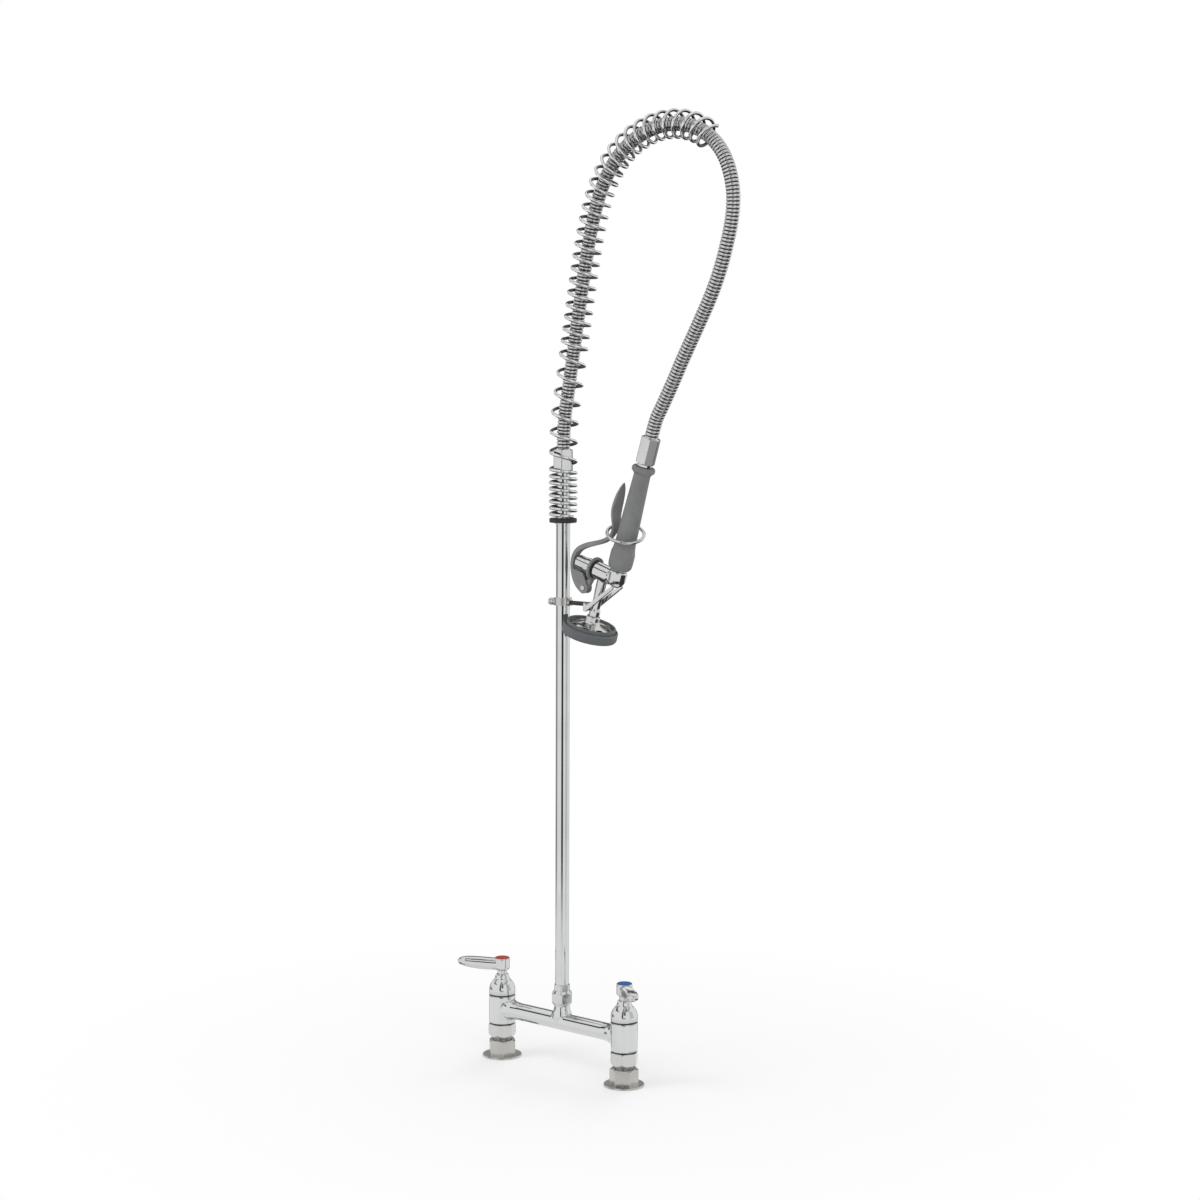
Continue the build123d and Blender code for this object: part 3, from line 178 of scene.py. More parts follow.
class SmoothLine:
    """A line measured by its length, through the points of one NURBS spline."""

    def __init__(self, corners):
        curve = bpy.data.curves.new("route", "CURVE")
        curve.dimensions = "3D"
        spline = curve.splines.new("NURBS")
        spline.points.add(len(corners) - 1)
        for point, (x, z) in zip(spline.points, corners):
            point.co = (x * mm, 0.0, z * mm, light_points.get((x, z), 1.0))
        spline.order_u = 3
        spline.use_endpoint_u = True
        spline.resolution_u = route_resolution
        carrier = bpy.data.objects.new("route", curve)
        bpy.context.scene.collection.objects.link(carrier)
        mesh = bpy.data.meshes.new_from_object(carrier)
        self.points = [vertex.co.copy() for vertex in mesh.vertices]
        bpy.data.objects.remove(carrier)
        self.reach = [0.0]
        for here, there in zip(self.points, self.points[1:]):
            self.reach.append(self.reach[-1] + (there - here).length)
        self.length = self.reach[-1]

    def place(self, distance):
        """Point at a distance along the line."""
        distance = min(max(distance, 0.0), self.length)
        low, high = 0, len(self.reach) - 1
        while high - low > 1:
            middle = (low + high) // 2
            if self.reach[middle] <= distance:
                low = middle
            else:
                high = middle
        share = (distance - self.reach[low]) / (self.reach[high] - self.reach[low])
        return self.points[low].lerp(self.points[high], share)

    def direction(self, distance):
        """Direction of the line at a distance along it."""
        return (self.place(distance + tangent_step) - self.place(distance - tangent_step)).normalized()


# Hose

def hose_stations(length):
    """Distance and radius of every ring along the outside of the hose."""
    ribbed = length - 2 * hose_plain
    bands = round(ribbed / hose_band)
    band = ribbed / bands
    stations = [(0.0, hose_radius), (hose_plain, hose_radius)]
    for index in range(bands):
        for share, rise in band_profile:
            radius = hose_valley + (hose_radius - hose_valley) * rise
            stations.append((hose_plain + (index + share) * band, radius))
    ribs_end = length - hose_plain
    stations += [(ribs_end, hose_valley), (ribs_end + hose_end_step, hose_radius), (length, hose_radius)]
    return stations


def hose(line):
    """Wound metal hose with its bore, as one closed tube along the line."""
    outside = hose_stations(line.length)
    inside = [(line.length * (1 - index / hose_bore_rings), hose_bore)
              for index in range(hose_bore_rings + 1)]
    vertices, unshaded_shares = [], []
    side_axis = Vector((0, 1, 0))
    for distance, radius in outside + inside:
        centre = line.place(distance)
        out = side_axis.cross(line.direction(distance))
        for angle in round_angles(hose_sides):
            vertices.append(centre + out * (radius * cos(angle)) + side_axis * (radius * sin(angle)))
            # Low in the valleys between the bands, and in the bore, this share gives painted shade.
            unshaded_shares.append((radius - hose_valley) / (hose_radius - hose_valley))
    faces = ring_faces(len(outside) + len(inside), hose_sides, closed=True)
    piece = new_object("metal_hose", vertices, faces)
    mark_painted_shade(piece, unshaded_shares)
    return piece


# Spring

def spring_pitch(turn):
    """Pitch at a turn, eased from one stretch of the spring to the next."""
    edge = 0.0
    pitch = spring_turns[0][1]
    for (turns, here), (_, there) in zip(spring_turns, spring_turns[1:]):
        edge += turns
        share = min(max((turn - edge) / pitch_change + 0.5, 0.0), 1.0)
        pitch += (there - here) * share * share * (3 - 2 * share)
    return pitch


def spring_centre(line, height):
    """Point and direction on the spring's own centre line at a distance above its foot."""
    hose_foot = line.points[0].z
    if height < hose_foot:
        return Vector((0, 0, height)), Vector((0, 0, 1))
    return line.place(height - hose_foot), line.direction(height - hose_foot)


def overhead_spring(line):
    """Open coil of round wire round riser and hose, whose points are marked by how far they face outward; its
    inner side takes painted shade.
    """
    turns = sum(count for count, _ in spring_turns)
    steps = int(turns * spring_steps)
    side_axis = Vector((0, 1, 0))
    centres, aways = [], []
    height = spring_foot + spring_wire
    for index in range(steps + 1):
        turn = index / spring_steps
        centre, direction = spring_centre(line, height)
        out = side_axis.cross(direction)
        angle = 2 * pi * turn
        aways.append(out * cos(angle) - side_axis * sin(angle))
        centres.append(centre + aways[-1] * spring_radius)
        height += spring_pitch(turn) / spring_steps
    vertices, unshaded_shares = [], []
    for index, (centre, away) in enumerate(zip(centres, aways)):
        before, after = centres[max(index - 1, 0)], centres[min(index + 1, steps)]
        direction = (after - before).normalized()
        outward = direction.cross(off_the_wire).normalized()
        upward = direction.cross(outward)
        for angle in round_angles(spring_sides):
            normal = outward * cos(angle) + upward * sin(angle)
            vertices.append(centre + normal * spring_wire)
            # Where the wire faces the coil's middle, this share gives painted shade.
            unshaded_shares.append(0.5 + 0.5 * normal.dot(away))
    faces = ring_faces(steps + 1, spring_sides) + end_faces(steps + 1, spring_sides)
    piece = new_object("coil_spring", vertices, faces)
    mark_painted_shade(piece, unshaded_shares)
    return piece


# Materials: scales of their clouding and grain, and the depth of the relief

even_grain = (1.0, 1.0, 1.0)
ring_grain = (1.0, 1.0, 14.0)
length_grain = (14.0, 14.0, 1.0)
metal_cloud = 28.0
moulded_cloud = 45.0
enamel_cloud = 160.0
wound_grain = 900.0
enamel_grain = 1200.0
metal_depth = 0.05 * mm
moulded_depth = 0.12 * mm
bevel_samples = 6


def shader_nodes(name):
    """New material with its node tree, its main shader and its object coordinates."""
    material = bpy.data.materials.new(name)
    material.use_nodes = True
    tree = material.node_tree
    coordinates = tree.nodes.new("ShaderNodeTexCoord")
    return material, tree, tree.nodes["Principled BSDF"], coordinates.outputs["Object"]


def noise(tree, vector, scale, detail=4.0, stretch=even_grain):
    """Noise in object space; stretch makes it run along an axis."""
    mapping = tree.nodes.new("ShaderNodeMapping")
    mapping.inputs["Scale"].default_value = stretch
    texture = tree.nodes.new("ShaderNodeTexNoise")
    texture.inputs["Scale"].default_value = scale
    texture.inputs["Detail"].default_value = detail
    tree.links.new(vector, mapping.inputs["Vector"])
    tree.links.new(mapping.outputs["Vector"], texture.inputs["Vector"])
    return texture.outputs["Fac"]


def spread(tree, value, low, high, start=0.3, end=0.7):
    """A value between start and end mapped to the range from low to high."""
    mapped = tree.nodes.new("ShaderNodeMapRange")
    mapped.inputs["From Min"].default_value = start
    mapped.inputs["From Max"].default_value = end
    mapped.inputs["To Min"].default_value = low
    mapped.inputs["To Max"].default_value = high
    tree.links.new(value, mapped.inputs["Value"])
    return mapped.outputs["Result"]


def blend_colours(tree, factor, first, second):
    """Colour between two, by a factor."""
    mix = tree.nodes.new("ShaderNodeMix")
    mix.data_type = "RGBA"
    mix.inputs["A"].default_value = (*first, 1.0)
    mix.inputs["B"].default_value = (*second, 1.0)
    tree.links.new(factor, mix.inputs["Factor"])
    return mix.outputs["Result"]


def rough_and_relief(tree, shader, grain, roughness, relief, depth, edge):
    """Roughness from a grain, its relief, and edges rounded over by the shader."""
    tree.links.new(spread(tree, grain, *roughness), shader.inputs["Roughness"])
    rounded = tree.nodes.new("ShaderNodeBevel")
    rounded.samples = bevel_samples
    rounded.inputs["Radius"].default_value = edge
    bump = tree.nodes.new("ShaderNodeBump")
    bump.inputs["Strength"].default_value = relief
    bump.inputs["Distance"].default_value = depth
    tree.links.new(grain, bump.inputs["Height"])
    tree.links.new(rounded.outputs["Normal"], bump.inputs["Normal"])
    tree.links.new(bump.outputs["Normal"], shader.inputs["Normal"])


def metal(name, light, dark, roughness, scale, stretch=even_grain, relief=0.05, edge=0.35 * mm):
    """Metal with cloudy tone and a fine directional grain."""
    material, tree, shader, place = shader_nodes(name)
    shader.inputs["Metallic"].default_value = 1.0
    cloud = spread(tree, noise(tree, place, metal_cloud), 0.0, 1.0)
    tree.links.new(blend_colours(tree, cloud, light, dark), shader.inputs["Base Color"])
    grain = noise(tree, place, scale, 6.0, stretch)
    rough_and_relief(tree, shader, grain, roughness, relief, metal_depth, edge)
    return material


def metal_with_painted_shade(name, light, dark, roughness, start, end, edge=0.1 * mm):
    """Bright crests, and painted shade that darkens joints and inner sides, by the mesh's own measure of
    them.
    """
    material, tree, shader, place = shader_nodes(name)
    shader.inputs["Metallic"].default_value = 1.0
    unshaded_share = tree.nodes.new("ShaderNodeAttribute")
    unshaded_share.attribute_name = "unshaded_share"
    tone = spread(tree, unshaded_share.outputs["Fac"], 1.0, 0.0, start, end)
    tree.links.new(blend_colours(tree, tone, light, dark), shader.inputs["Base Color"])
    grain = noise(tree, place, wound_grain, 5.0)
    rough_and_relief(tree, shader, grain, roughness, 0.08, metal_depth, edge)
    return material


def moulded(name, light, dark, roughness, scale, relief, edge=0.7 * mm):
    """Moulded rubber or plastic with a fine skin and slight clouding."""
    material, tree, shader, place = shader_nodes(name)
    cloud = spread(tree, noise(tree, place, moulded_cloud, 6.0), 0.0, 1.0)
    tree.links.new(blend_colours(tree, cloud, light, dark), shader.inputs["Base Color"])
    shader.inputs["Specular IOR Level"].default_value = 0.45
    grain = noise(tree, place, scale, 8.0)
    rough_and_relief(tree, shader, grain, roughness, relief, moulded_depth, edge)
    return material


def enamel(name, light, dark):
    """Glossy hard surface of the index buttons and the ceramic discs."""
    material, tree, shader, place = shader_nodes(name)
    cloud = spread(tree, noise(tree, place, enamel_cloud, 6.0), 0.0, 1.0)
    tree.links.new(blend_colours(tree, cloud, light, dark), shader.inputs["Base Color"])
    shader.inputs["Specular IOR Level"].default_value = 0.12
    grain = noise(tree, place, enamel_grain, 6.0)
    rough_and_relief(tree, shader, grain, (0.40, 0.55), 0.06, metal_depth, 0.4 * mm)
    return material


looks = {
    "chrome": metal("polished_chrome", (0.66, 0.67, 0.67), (0.58, 0.59, 0.59), (0.035, 0.09), 260.0),
    "nickel": metal("satin_nickel", (0.60, 0.595, 0.57), (0.50, 0.495, 0.47), (0.20, 0.34), 420.0,
                    ring_grain, relief=0.10),
    "steel": metal("bright_steel", (0.62, 0.62, 0.62), (0.52, 0.52, 0.52), (0.08, 0.18), 500.0, relief=0.06),
    "brass": metal("machined_brass", (0.71, 0.55, 0.27), (0.58, 0.43, 0.19), (0.18, 0.32), 420.0,
                   ring_grain, relief=0.08),
    "ceramic": enamel("lapped_ceramic", (0.90, 0.89, 0.86), (0.84, 0.82, 0.78)),
    "grip_grey": moulded("grip_rubber", (0.188, 0.193, 0.188), (0.150, 0.154, 0.151), (0.42, 0.62),
                         scale=900.0, relief=0.35),
    "lever_grey": moulded("lever_coating", (0.205, 0.210, 0.205), (0.165, 0.169, 0.166), (0.34, 0.50),
                          scale=1400.0, relief=0.16),
    "bumper_grey": moulded("bumper_rubber", (0.115, 0.124, 0.127), (0.090, 0.098, 0.101), (0.42, 0.60),
                           scale=800.0, relief=0.35),
    "black_rubber": moulded("seal_rubber", (0.022, 0.022, 0.023), (0.012, 0.012, 0.013), (0.45, 0.65),
                            scale=900.0, relief=0.30),
    "black_coating": moulded("hook_coating", (0.030, 0.030, 0.031), (0.018, 0.018, 0.019), (0.30, 0.45),
                             scale=1200.0, relief=0.18),
    "index_red": enamel("index_red", (0.38, 0.055, 0.035), (0.29, 0.035, 0.022)),
    "index_blue": enamel("index_blue", (0.030, 0.110, 0.340), (0.020, 0.080, 0.260)),
}
cast_look = metal("cast_chrome", (0.66, 0.67, 0.66), (0.59, 0.60, 0.59), (0.05, 0.12), 180.0, edge=0.9 * mm)
nut_look = metal("turned_chrome", (0.66, 0.67, 0.66), (0.57, 0.58, 0.57), (0.08, 0.18), 420.0,
                 ring_grain, relief=0.06, edge=0.5 * mm)
pipe_look = metal("drawn_chrome", (0.67, 0.68, 0.68), (0.60, 0.61, 0.61), (0.04, 0.09), 220.0,
                  length_grain, relief=0.04)
# Painted shade: the hose darkens to near black in the valleys between its bands and in its bore.
hose_look = metal_with_painted_shade("wound_hose", (0.60, 0.605, 0.60), (0.02, 0.02, 0.02), (0.08, 0.15), 0.05, 0.85)
# Painted shade: the inner side of the spring's wire, facing the hose, darkens to near black.
spring_look = metal_with_painted_shade("spring_chrome", (0.74, 0.75, 0.75), (0.06, 0.06, 0.06), (0.05, 0.10), 0.30, 0.72)
# Painted shade in the seams: bonnets, casting and coupling nuts darken to a dark line near the towers'
# joints.
chrome_seam_shade_look = metal_with_painted_shade("chrome_with_seam_shade", (0.65, 0.66, 0.655), (0.05, 0.05, 0.05), (0.06, 0.13), 0.0, 1.0,
                         edge=0.6 * mm)
nickel_seam_shade_look = metal_with_painted_shade("nickel_with_seam_shade", (0.63, 0.63, 0.615), (0.05, 0.05, 0.05), (0.10, 0.20), 0.0, 1.0,
                           edge=0.5 * mm)

special_looks = {
    "riser_pipe": pipe_look, "valve_bonnet": nut_look, "hot_stem": nut_look, "cold_stem": nut_look,
    "grip_tube": nut_look, "riser_adaptor": nut_look, "riser_hose_nut": nut_look, "grip_hose_nut": nut_look,
}


def dress(piece, look):
    """Give a piece its one material."""
    piece.data.materials.clear()
    piece.data.materials.append(look)


def dress_nodes():
    """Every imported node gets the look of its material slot, or one of its own."""
    for entry in frame["record"]["subparts"]:
        dress(nodes[entry["node"]], looks[entry["material_slot"]])
    for name, look in special_looks.items():
        dress(nodes[name], look)


def finish_piece(piece, look, slot, body, *replaced):
    """Look, body and replaced nodes of a new piece; slot is not used."""
    dress(piece, look)
    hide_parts(*replaced)
    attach(piece, body)


# Turned, lofted and moulded pieces

valve_middle = Matrix.Translation((valve_corner[0] * mm, 0, valve_corner[1] * mm))
valve_place = valve_middle @ Matrix.Rotation(valve_lean, 4, "Y")
corner_share = 0.45
nut_sides = 180
nut_end_rings = 6
nut_middle_rings = 4


def placed(points, place):
    """Points in millimetres put in their place, in metres."""
    return [place @ (Vector(point) * mm) for point in points]


def turned(name, profile, place, sides=96):
    """Ring swept from a closed profile of (radius, height) points in millimetres."""
    points = [(radius * cos(angle), radius * sin(angle), height)
              for radius, height in profile for angle in round_angles(sides)]
    return new_object(name, placed(points, place), ring_faces(len(profile), sides, closed=True))


def rounded_profile(corners, rounding=0.8, steps=4):
    """Closed profile with each corner turned through a small arc-like curve."""
    profile = []
    count = len(corners)
    for index, corner in enumerate(corners):
        here = Vector(corner)
        arms = []
        for neighbour in (corners[index - 1], corners[(index + 1) % count]):
            arm = Vector(neighbour) - here
            arms.append(here + arm.normalized() * min(rounding, arm.length * corner_share))
        for step in range(steps + 1):
            share = step / steps
            point = arms[0].lerp(here, share).lerp(here.lerp(arms[1], share), share)
            profile.append((point.x, point.y))
    return profile


def nut(name, place, turn, flats, corner, low, high, low_end, high_end, bore):
    """Six-sided nut whose corners are turned down at both ends; an end is (radius, length)."""
    low_radius, low_length = low_end
    high_radius, high_length = high_end
    middle = high - high_length - low - low_length
    heights = [low + low_length * step / nut_end_rings for step in range(nut_end_rings)]
    heights += [low + low_length + middle * step / nut_middle_rings for step in range(nut_middle_rings)]
    heights += [high - high_length * (1 - step / nut_end_rings) for step in range(nut_end_rings + 1)]
    points = []
    for height in [low] + heights + [high]:
        taper_low = low_radius + (corner - low_radius) * min((height - low) / low_length, 1.0)
        taper_high = high_radius + (corner - high_radius) * min((high - height) / high_length, 1.0)
        for angle in round_angles(nut_sides):
            across = (angle + pi / 6) % (pi / 3) - pi / 6
            radius = min(flats / 2 / cos(across), taper_low, taper_high, corner)
            points.append((radius * cos(angle + turn), radius * sin(angle + turn), height))
    for height in (high, low):
        points += [(bore * cos(angle + turn), bore * sin(angle + turn), height)
                   for angle in round_angles(nut_sides)]
    rings = len(points) // nut_sides
    return new_object(name, placed(points, place), ring_faces(rings, nut_sides, closed=True), smooth=False)


def joined(name, pieces):
    """One object from several, which are removed."""
    vertices, faces = [], []
    for piece in pieces:
        first = len(vertices)
        vertices += [vertex.co.copy() for vertex in piece.data.vertices]
        faces += [tuple(first + index for index in polygon.vertices) for polygon in piece.data.polygons]
        smooth = piece.data.polygons[0].use_smooth
        bpy.data.objects.remove(piece)
    return new_object(name, vertices, faces, smooth)


def apply_modifiers(piece):
    """Work a piece's modifiers into its mesh."""
    bpy.context.view_layer.update()
    evaluated = piece.evaluated_get(bpy.context.evaluated_depsgraph_get())
    mesh = bpy.data.meshes.new_from_object(evaluated)
    piece.modifiers.clear()
    piece.data = mesh


def skinned(piece, voxel, passes):
    """Weld a piece's overlapping forms into one skin and soften its edges."""
    remesh = piece.modifiers.new("skin", "REMESH")
    remesh.mode = "VOXEL"
    remesh.voxel_size = voxel
    soften = piece.modifiers.new("soften", "SMOOTH")
    soften.factor = 0.5
    soften.iterations = passes
    apply_modifiers(piece)
    piece.data.polygons.foreach_set("use_smooth", [True] * len(piece.data.polygons))
    return piece


def cut(piece, cutter):
    """Take one piece's form out of another and drop the cutter."""
    opening = piece.modifiers.new("opening", "BOOLEAN")
    opening.operation = "DIFFERENCE"
    opening.solver = "EXACT"
    opening.object = cutter
    apply_modifiers(piece)
    bpy.data.objects.remove(cutter)
    return piece


def node_copy(name, node):
    """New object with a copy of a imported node's mesh."""
    piece = bpy.data.objects.new(name, nodes[node].data.copy())
    bpy.context.scene.collection.objects.link(piece)
    return piece


def softened(node, name, voxel, passes, *added):
    """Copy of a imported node, with any added forms, rounded over as in a casting."""
    return skinned(joined(name, [node_copy(name + "_copy", node), *added]), voxel, passes)


def bar(name, outline, half_width, aside):
    """Bar with an outline in the XZ plane, centred aside along Y."""
    points = [(x, aside + side * half_width, z) for side in (-1, 1) for x, z in outline]
    count = len(outline)
    faces = [tuple(range(count)), tuple(reversed(range(count, 2 * count)))]
    faces += [(index, index + count, (index + 1) % count + count, (index + 1) % count)
              for index in range(count)]
    return new_object(name, placed(points, origin), faces, smooth=False)


# Deck valves: heights of the towers' joints, whose dark lines of painted shade fade over
# joint_shade, and the form of bonnets, levers and nuts

tower_offset = 101.6
tower_low = 43.05
tower_top = 80.25
joint_shade = 1.6 * mm
bridge_middle = 60.0 * mm
bridge_voxel = 0.8 * mm
bridge_passes = 5

bonnet_corners = [
    (6.4, 98.5), (6.4, 107.0), (7.4, 107.0), (8.5, 105.0), (9.3, 101.6), (9.7, 100.6), (11.8, 98.4),
    (14.2, 95.2), (15.9, 91.0), (16.6, 88.0), (16.6, 80.9), (15.9, 80.2), (14.0, 80.2), (14.0, 72.7),
    (8.6, 72.7), (8.6, 98.5),
]
hub_corners = [(0.01, 111.7), (7.6, 111.7), (9.7, 114.2), (9.8, 126.6), (9.5, 127.4), (0.01, 127.4)]

# Sections of the lever as (reach, half width, low, high)
lever_sections = [
    (0.0, 7.2, 112.2, 126.6), (10.0, 7.15, 111.9, 127.0), (20.0, 7.1, 112.1, 127.7),
    (30.0, 7.2, 112.9, 128.4), (40.0, 7.4, 114.4, 128.8), (47.0, 7.3, 116.2, 128.6),
    (52.0, 6.2, 117.7, 127.8), (55.4, 4.0, 119.4, 126.4), (57.0, 1.4, 121.2, 124.6),
]
lever_sides = 48
lever_squareness = 3.0
lever_draft = 0.10
lever_spread = radians(52.0)
lever_voxel = 0.5 * mm
lever_passes = 3

coupling_nut = {"flats": 31.6, "corner": 17.6, "low": 22.6, "high": 43.0, "low_end": (12.8, 6.5),
                "high_end": (15.9, 2.2), "bore": 11.2}
hot_nut_turn = radians(22.0)
cold_nut_turn = radians(30.0)
riser_nut = {"flats": 24.9, "corner": 14.2, "low": 84.2, "high": 102.2, "low_end": (10.6, 4.6),
             "high_end": (10.2, 4.6), "bore": 9.1}


def mark_seam_shade(piece, *heights):
    """Mark how near a piece's points are to the towers' joints, where painted shade draws dark lines in the
    seams.
    """
    near = []
    for vertex in piece.data.vertices:
        gap = min(abs(vertex.co.z - height * mm) for height in heights)
        on_tower = abs(vertex.co.x) > bridge_middle
        near.append(min(gap / joint_shade, 1.0) ** 2 if on_tower else 1.0)
    mark_painted_shade(piece, near)
    return piece


def lever_handle(name, turn, tower):
    """Thick rounded lever and its hub, cast in one."""
    points = []
    for reach, half_width, low, high in lever_sections:
        for angle in round_angles(lever_sides):
            across, up = cos(angle), sin(angle)
            bulge = (abs(across) ** lever_squareness + abs(up) ** lever_squareness) ** (-1 / lever_squareness)
            draft = 1.0 - lever_draft * (1 - up * bulge) / 2
            height = (low + high) / 2 + (high - low) / 2 * up * bulge
            points.append((reach, half_width * across * bulge * draft, height))
    rings = len(lever_sections)
    faces = ring_faces(rings, lever_sides) + end_faces(rings, lever_sides)
    place = tower @ Matrix.Rotation(turn, 4, "Z")
    blade = new_object(name + "_blade", placed(points, place), faces)
    hub = turned(name + "_hub", hub_corners, place)
    return skinned(joined(name, [blade, hub]), lever_voxel, lever_passes)


def deck_valves():
    """Bonnets, handles and coupling nuts of the two valves, and the riser's nut."""
    nuts = []
    for name, side, nut_turn in (("hot", -1, hot_nut_turn), ("cold", 1, cold_nut_turn)):
        tower = Matrix.Translation((side * tower_offset * mm, 0, 0))
        bonnet = turned(name + "_bonnet_skin", rounded_profile(bonnet_corners), tower)
        finish_piece(mark_seam_shade(bonnet, tower_top), chrome_seam_shade_look, "chrome", "base", name + "_bonnet")
        handle = lever_handle(name + "_lever", -pi / 2 + side * lever_spread, tower)
        finish_piece(handle, cast_look, "chrome", name + "_handle", name + "_lever_handle")
        nuts.append(nut(name + "_nut", tower, nut_turn, **coupling_nut))
    nut_pair = mark_seam_shade(joined("coupling_nut_pair", nuts), tower_low)
    finish_piece(nut_pair, nickel_seam_shade_look, "nickel", "base", "coupling_nuts")
    middle_nut = nut("riser_nut", origin, camera_azimuth, **riser_nut)
    finish_piece(middle_nut, nut_look, "chrome", "base", "riser_coupling_nut")


def faucet_casting():
    """Bridge body with the fillets of a casting."""
    casting = softened("faucet_body", "bridge_casting", bridge_voxel, bridge_passes)
    finish_piece(mark_seam_shade(casting, tower_low, tower_top), chrome_seam_shade_look, "chrome", "base", "faucet_body")


# Spray valve: outlines of the turned pieces as (radius, height)

neck_shift = -21.0
grip_corners = [
    (7.7, 12.4), (11.6, 12.4), (14.5, 16.0), (15.0, 22.0), (15.0, 33.5), (13.6, 39.0), (12.9, 45.0),
    (10.25, 134.0), (12.6, 136.0), (14.35, 138.0), (14.35, 141.5), (12.8, 143.5), (7.7, 143.5),
]
grip_rounding = 2.2
grip_voxel = 0.6 * mm
grip_passes = 4

bumper_corners = [
    (27.7, -69.9), (27.7, -67.6), (28.4, -66.4), (30.6, -66.4), (31.0, -72.0), (32.2, -72.2),
    (32.6, -70.6), (33.6, -70.6), (34.6, -72.2), (34.6, -80.6), (33.0, -83.0), (28.4, -83.0),
    (27.7, -82.0), (27.7, -71.3), (30.0, -71.3), (30.0, -69.9),
]
bumper_rounding = 0.8

# Elbow of the casting with its bore for the grip's tube, and the valve chamber that crosses it
elbow_corners = [
    (0.01, -11.0), (4.0, -10.4), (8.0, -7.8), (10.3, -4.0), (11.0, 0.0), (11.0, 9.0), (10.4, 10.6),
    (9.3, 11.2), (9.3, 5.9), (5.0, 5.9), (5.0, 0.0), (0.01, 0.0),
]
chamber_corners = [(0.01, -14.0), (7.1, -14.0), (7.1, 5.0), (0.01, 5.0)]
coated_voxel = 0.45 * mm
casting_passes = 9
coating_passes = 3

dish_corners = [
    (0.01, -56.1), (7.8, -56.1), (8.4, -56.9), (8.7, -62.6), (11.0, -64.6), (15.0, -65.9),
    (20.4, -67.2), (26.4, -68.9), (29.95, -69.8), (29.95, -71.2), (25.6, -70.9), (18.6, -68.9),
    (17.2, -68.6), (17.2, -74.0), (16.0, -74.0), (16.0, -67.6), (9.0, -65.9), (0.01, -65.9),
]
dish_rounding = 0.7

# Drain slots of the dish: their count, distance from its axis, end radius, half the straight
# length between the ends, and the heights that the cutters span
slot_count = 8
slot_distance = 22.5
slot_radius = 1.7
slot_straight = 2.8
slot_heights = (-75.0, -60.0)
slot_sides = 24

# Outlines of the hook's fork, as (x, z)
prong_outline = [
    (41.2, 583.2), (45.0, 582.6), (88.0, 612.4), (88.6, 614.6), (87.2, 616.2), (85.0, 615.6),
    (44.6, 589.6), (41.2, 591.6),
]
heel_outline = [(41.2, 584.0), (45.2, 583.6), (45.6, 592.4), (41.4, 594.0)]
prong_half_width = 1.5
prong_aside = 8.6
heel_half_width = 10.1
fork_voxel = 0.4 * mm
fork_passes = 7


def fork():
    """Two prongs that carry the valve either side of its neck, and the heel that joins them."""
    forms = [bar("prong", prong_outline, prong_half_width, aside) for aside in (-prong_aside, prong_aside)]
    forms.append(bar("heel", heel_outline, heel_half_width, 0.0))
    return skinned(joined("hook_fork_forged", forms), fork_voxel, fork_passes)


def grip():
    """Moulded grip: bead, tapered barrel and the fuller block that meets the valve."""
    body = turned("grip_sleeve", rounded_profile(grip_corners, grip_rounding, 6), valve_place, 128)
    return skinned(body, grip_voxel, grip_passes)


def valve_casting():
    """Body of the valve with the elbow rounded over, and its chamber left open."""
    elbow = turned("elbow", elbow_corners, valve_place)
    cross_axis = valve_place @ Matrix.Rotation(pi / 2, 4, "Y")
    elbow = cut(elbow, turned("chamber", chamber_corners, cross_axis, 48))
    return softened("valve_body", "valve_casting", coated_voxel, casting_passes, elbow)


def drain_slot(middle, head):
    """Cutter for one drain slot, at an angle round the dish."""
    half = slot_sides // 2
    points = []
    for height in slot_heights:
        for step, angle in enumerate(round_angles(slot_sides)):
            straight = 0.0 if step in (0, half) else slot_straight if step < half else -slot_straight
            along = slot_radius * sin(angle) + straight
            away = slot_distance + slot_radius * cos(angle)
            points.append(Matrix.Rotation(middle, 3, "Z") @ Vector((away, along, height)))
    faces = ring_faces(2, slot_sides) + end_faces(2, slot_sides)
    return new_object("slot", placed(points, head), faces, smooth=False)


def spray_dish(head):
    """Domed plate with its hub, the cup behind it and a ring of drain slots."""
    dish = turned("spray_dish", rounded_profile(dish_corners, dish_rounding), head, 144)
    slots = [drain_slot(2 * pi * (index + 0.5) / slot_count, head) for index in range(slot_count)]
    return cut(dish, joined("slots", slots))


def closing_spring():
    """The valve's own spring, which the plunger presses shorter in the valve; here a copy of the imported
    node with its own mesh, at its imported length.
    """
    piece = node_copy("closing_spring", "valve_spring")
    finish_piece(piece, looks["steel"], "steel", "sprayer", "valve_spring")
    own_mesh(piece)


def spray_valve():
    """Grip, bumper, spray plate, fork and softened copies of the cast and coated pieces."""
    finish_piece(grip(), looks["grip_grey"], "grip_grey", "sprayer", "grip")
    head = valve_place @ Matrix.Translation((neck_shift * mm, 0, 0))
    bumper = turned("bumper_ring", rounded_profile(bumper_corners, bumper_rounding, 5), head, 160)
    finish_piece(bumper, looks["bumper_grey"], "bumper_grey", "sprayer", "bumper")
    finish_piece(valve_casting(), cast_look, "chrome", "sprayer", "valve_body")
    finish_piece(spray_dish(head), nut_look, "chrome", "sprayer", "spray_plate")
    finish_piece(fork(), nut_look, "chrome", "riser", "hook_fork")
    lever = softened("squeeze_lever", "coated_lever", coated_voxel, coating_passes)
    finish_piece(lever, looks["lever_grey"], "lever_grey", "squeeze_lever_body", "squeeze_lever")
    closing_spring()


# Studio

white = (1.0, 1.0, 1.0)
even_light = (0.74, 0.74, 0.75)
floor_tone = (0.93, 0.93, 0.93)
floor_half_side = 4.0
floor_drop = 0.2 * mm
floor_shadow = (0.12, 0.75)
table_edge = (0.15, 0.28)
lamp_aim = Vector((0.03, 0.0, 0.6))

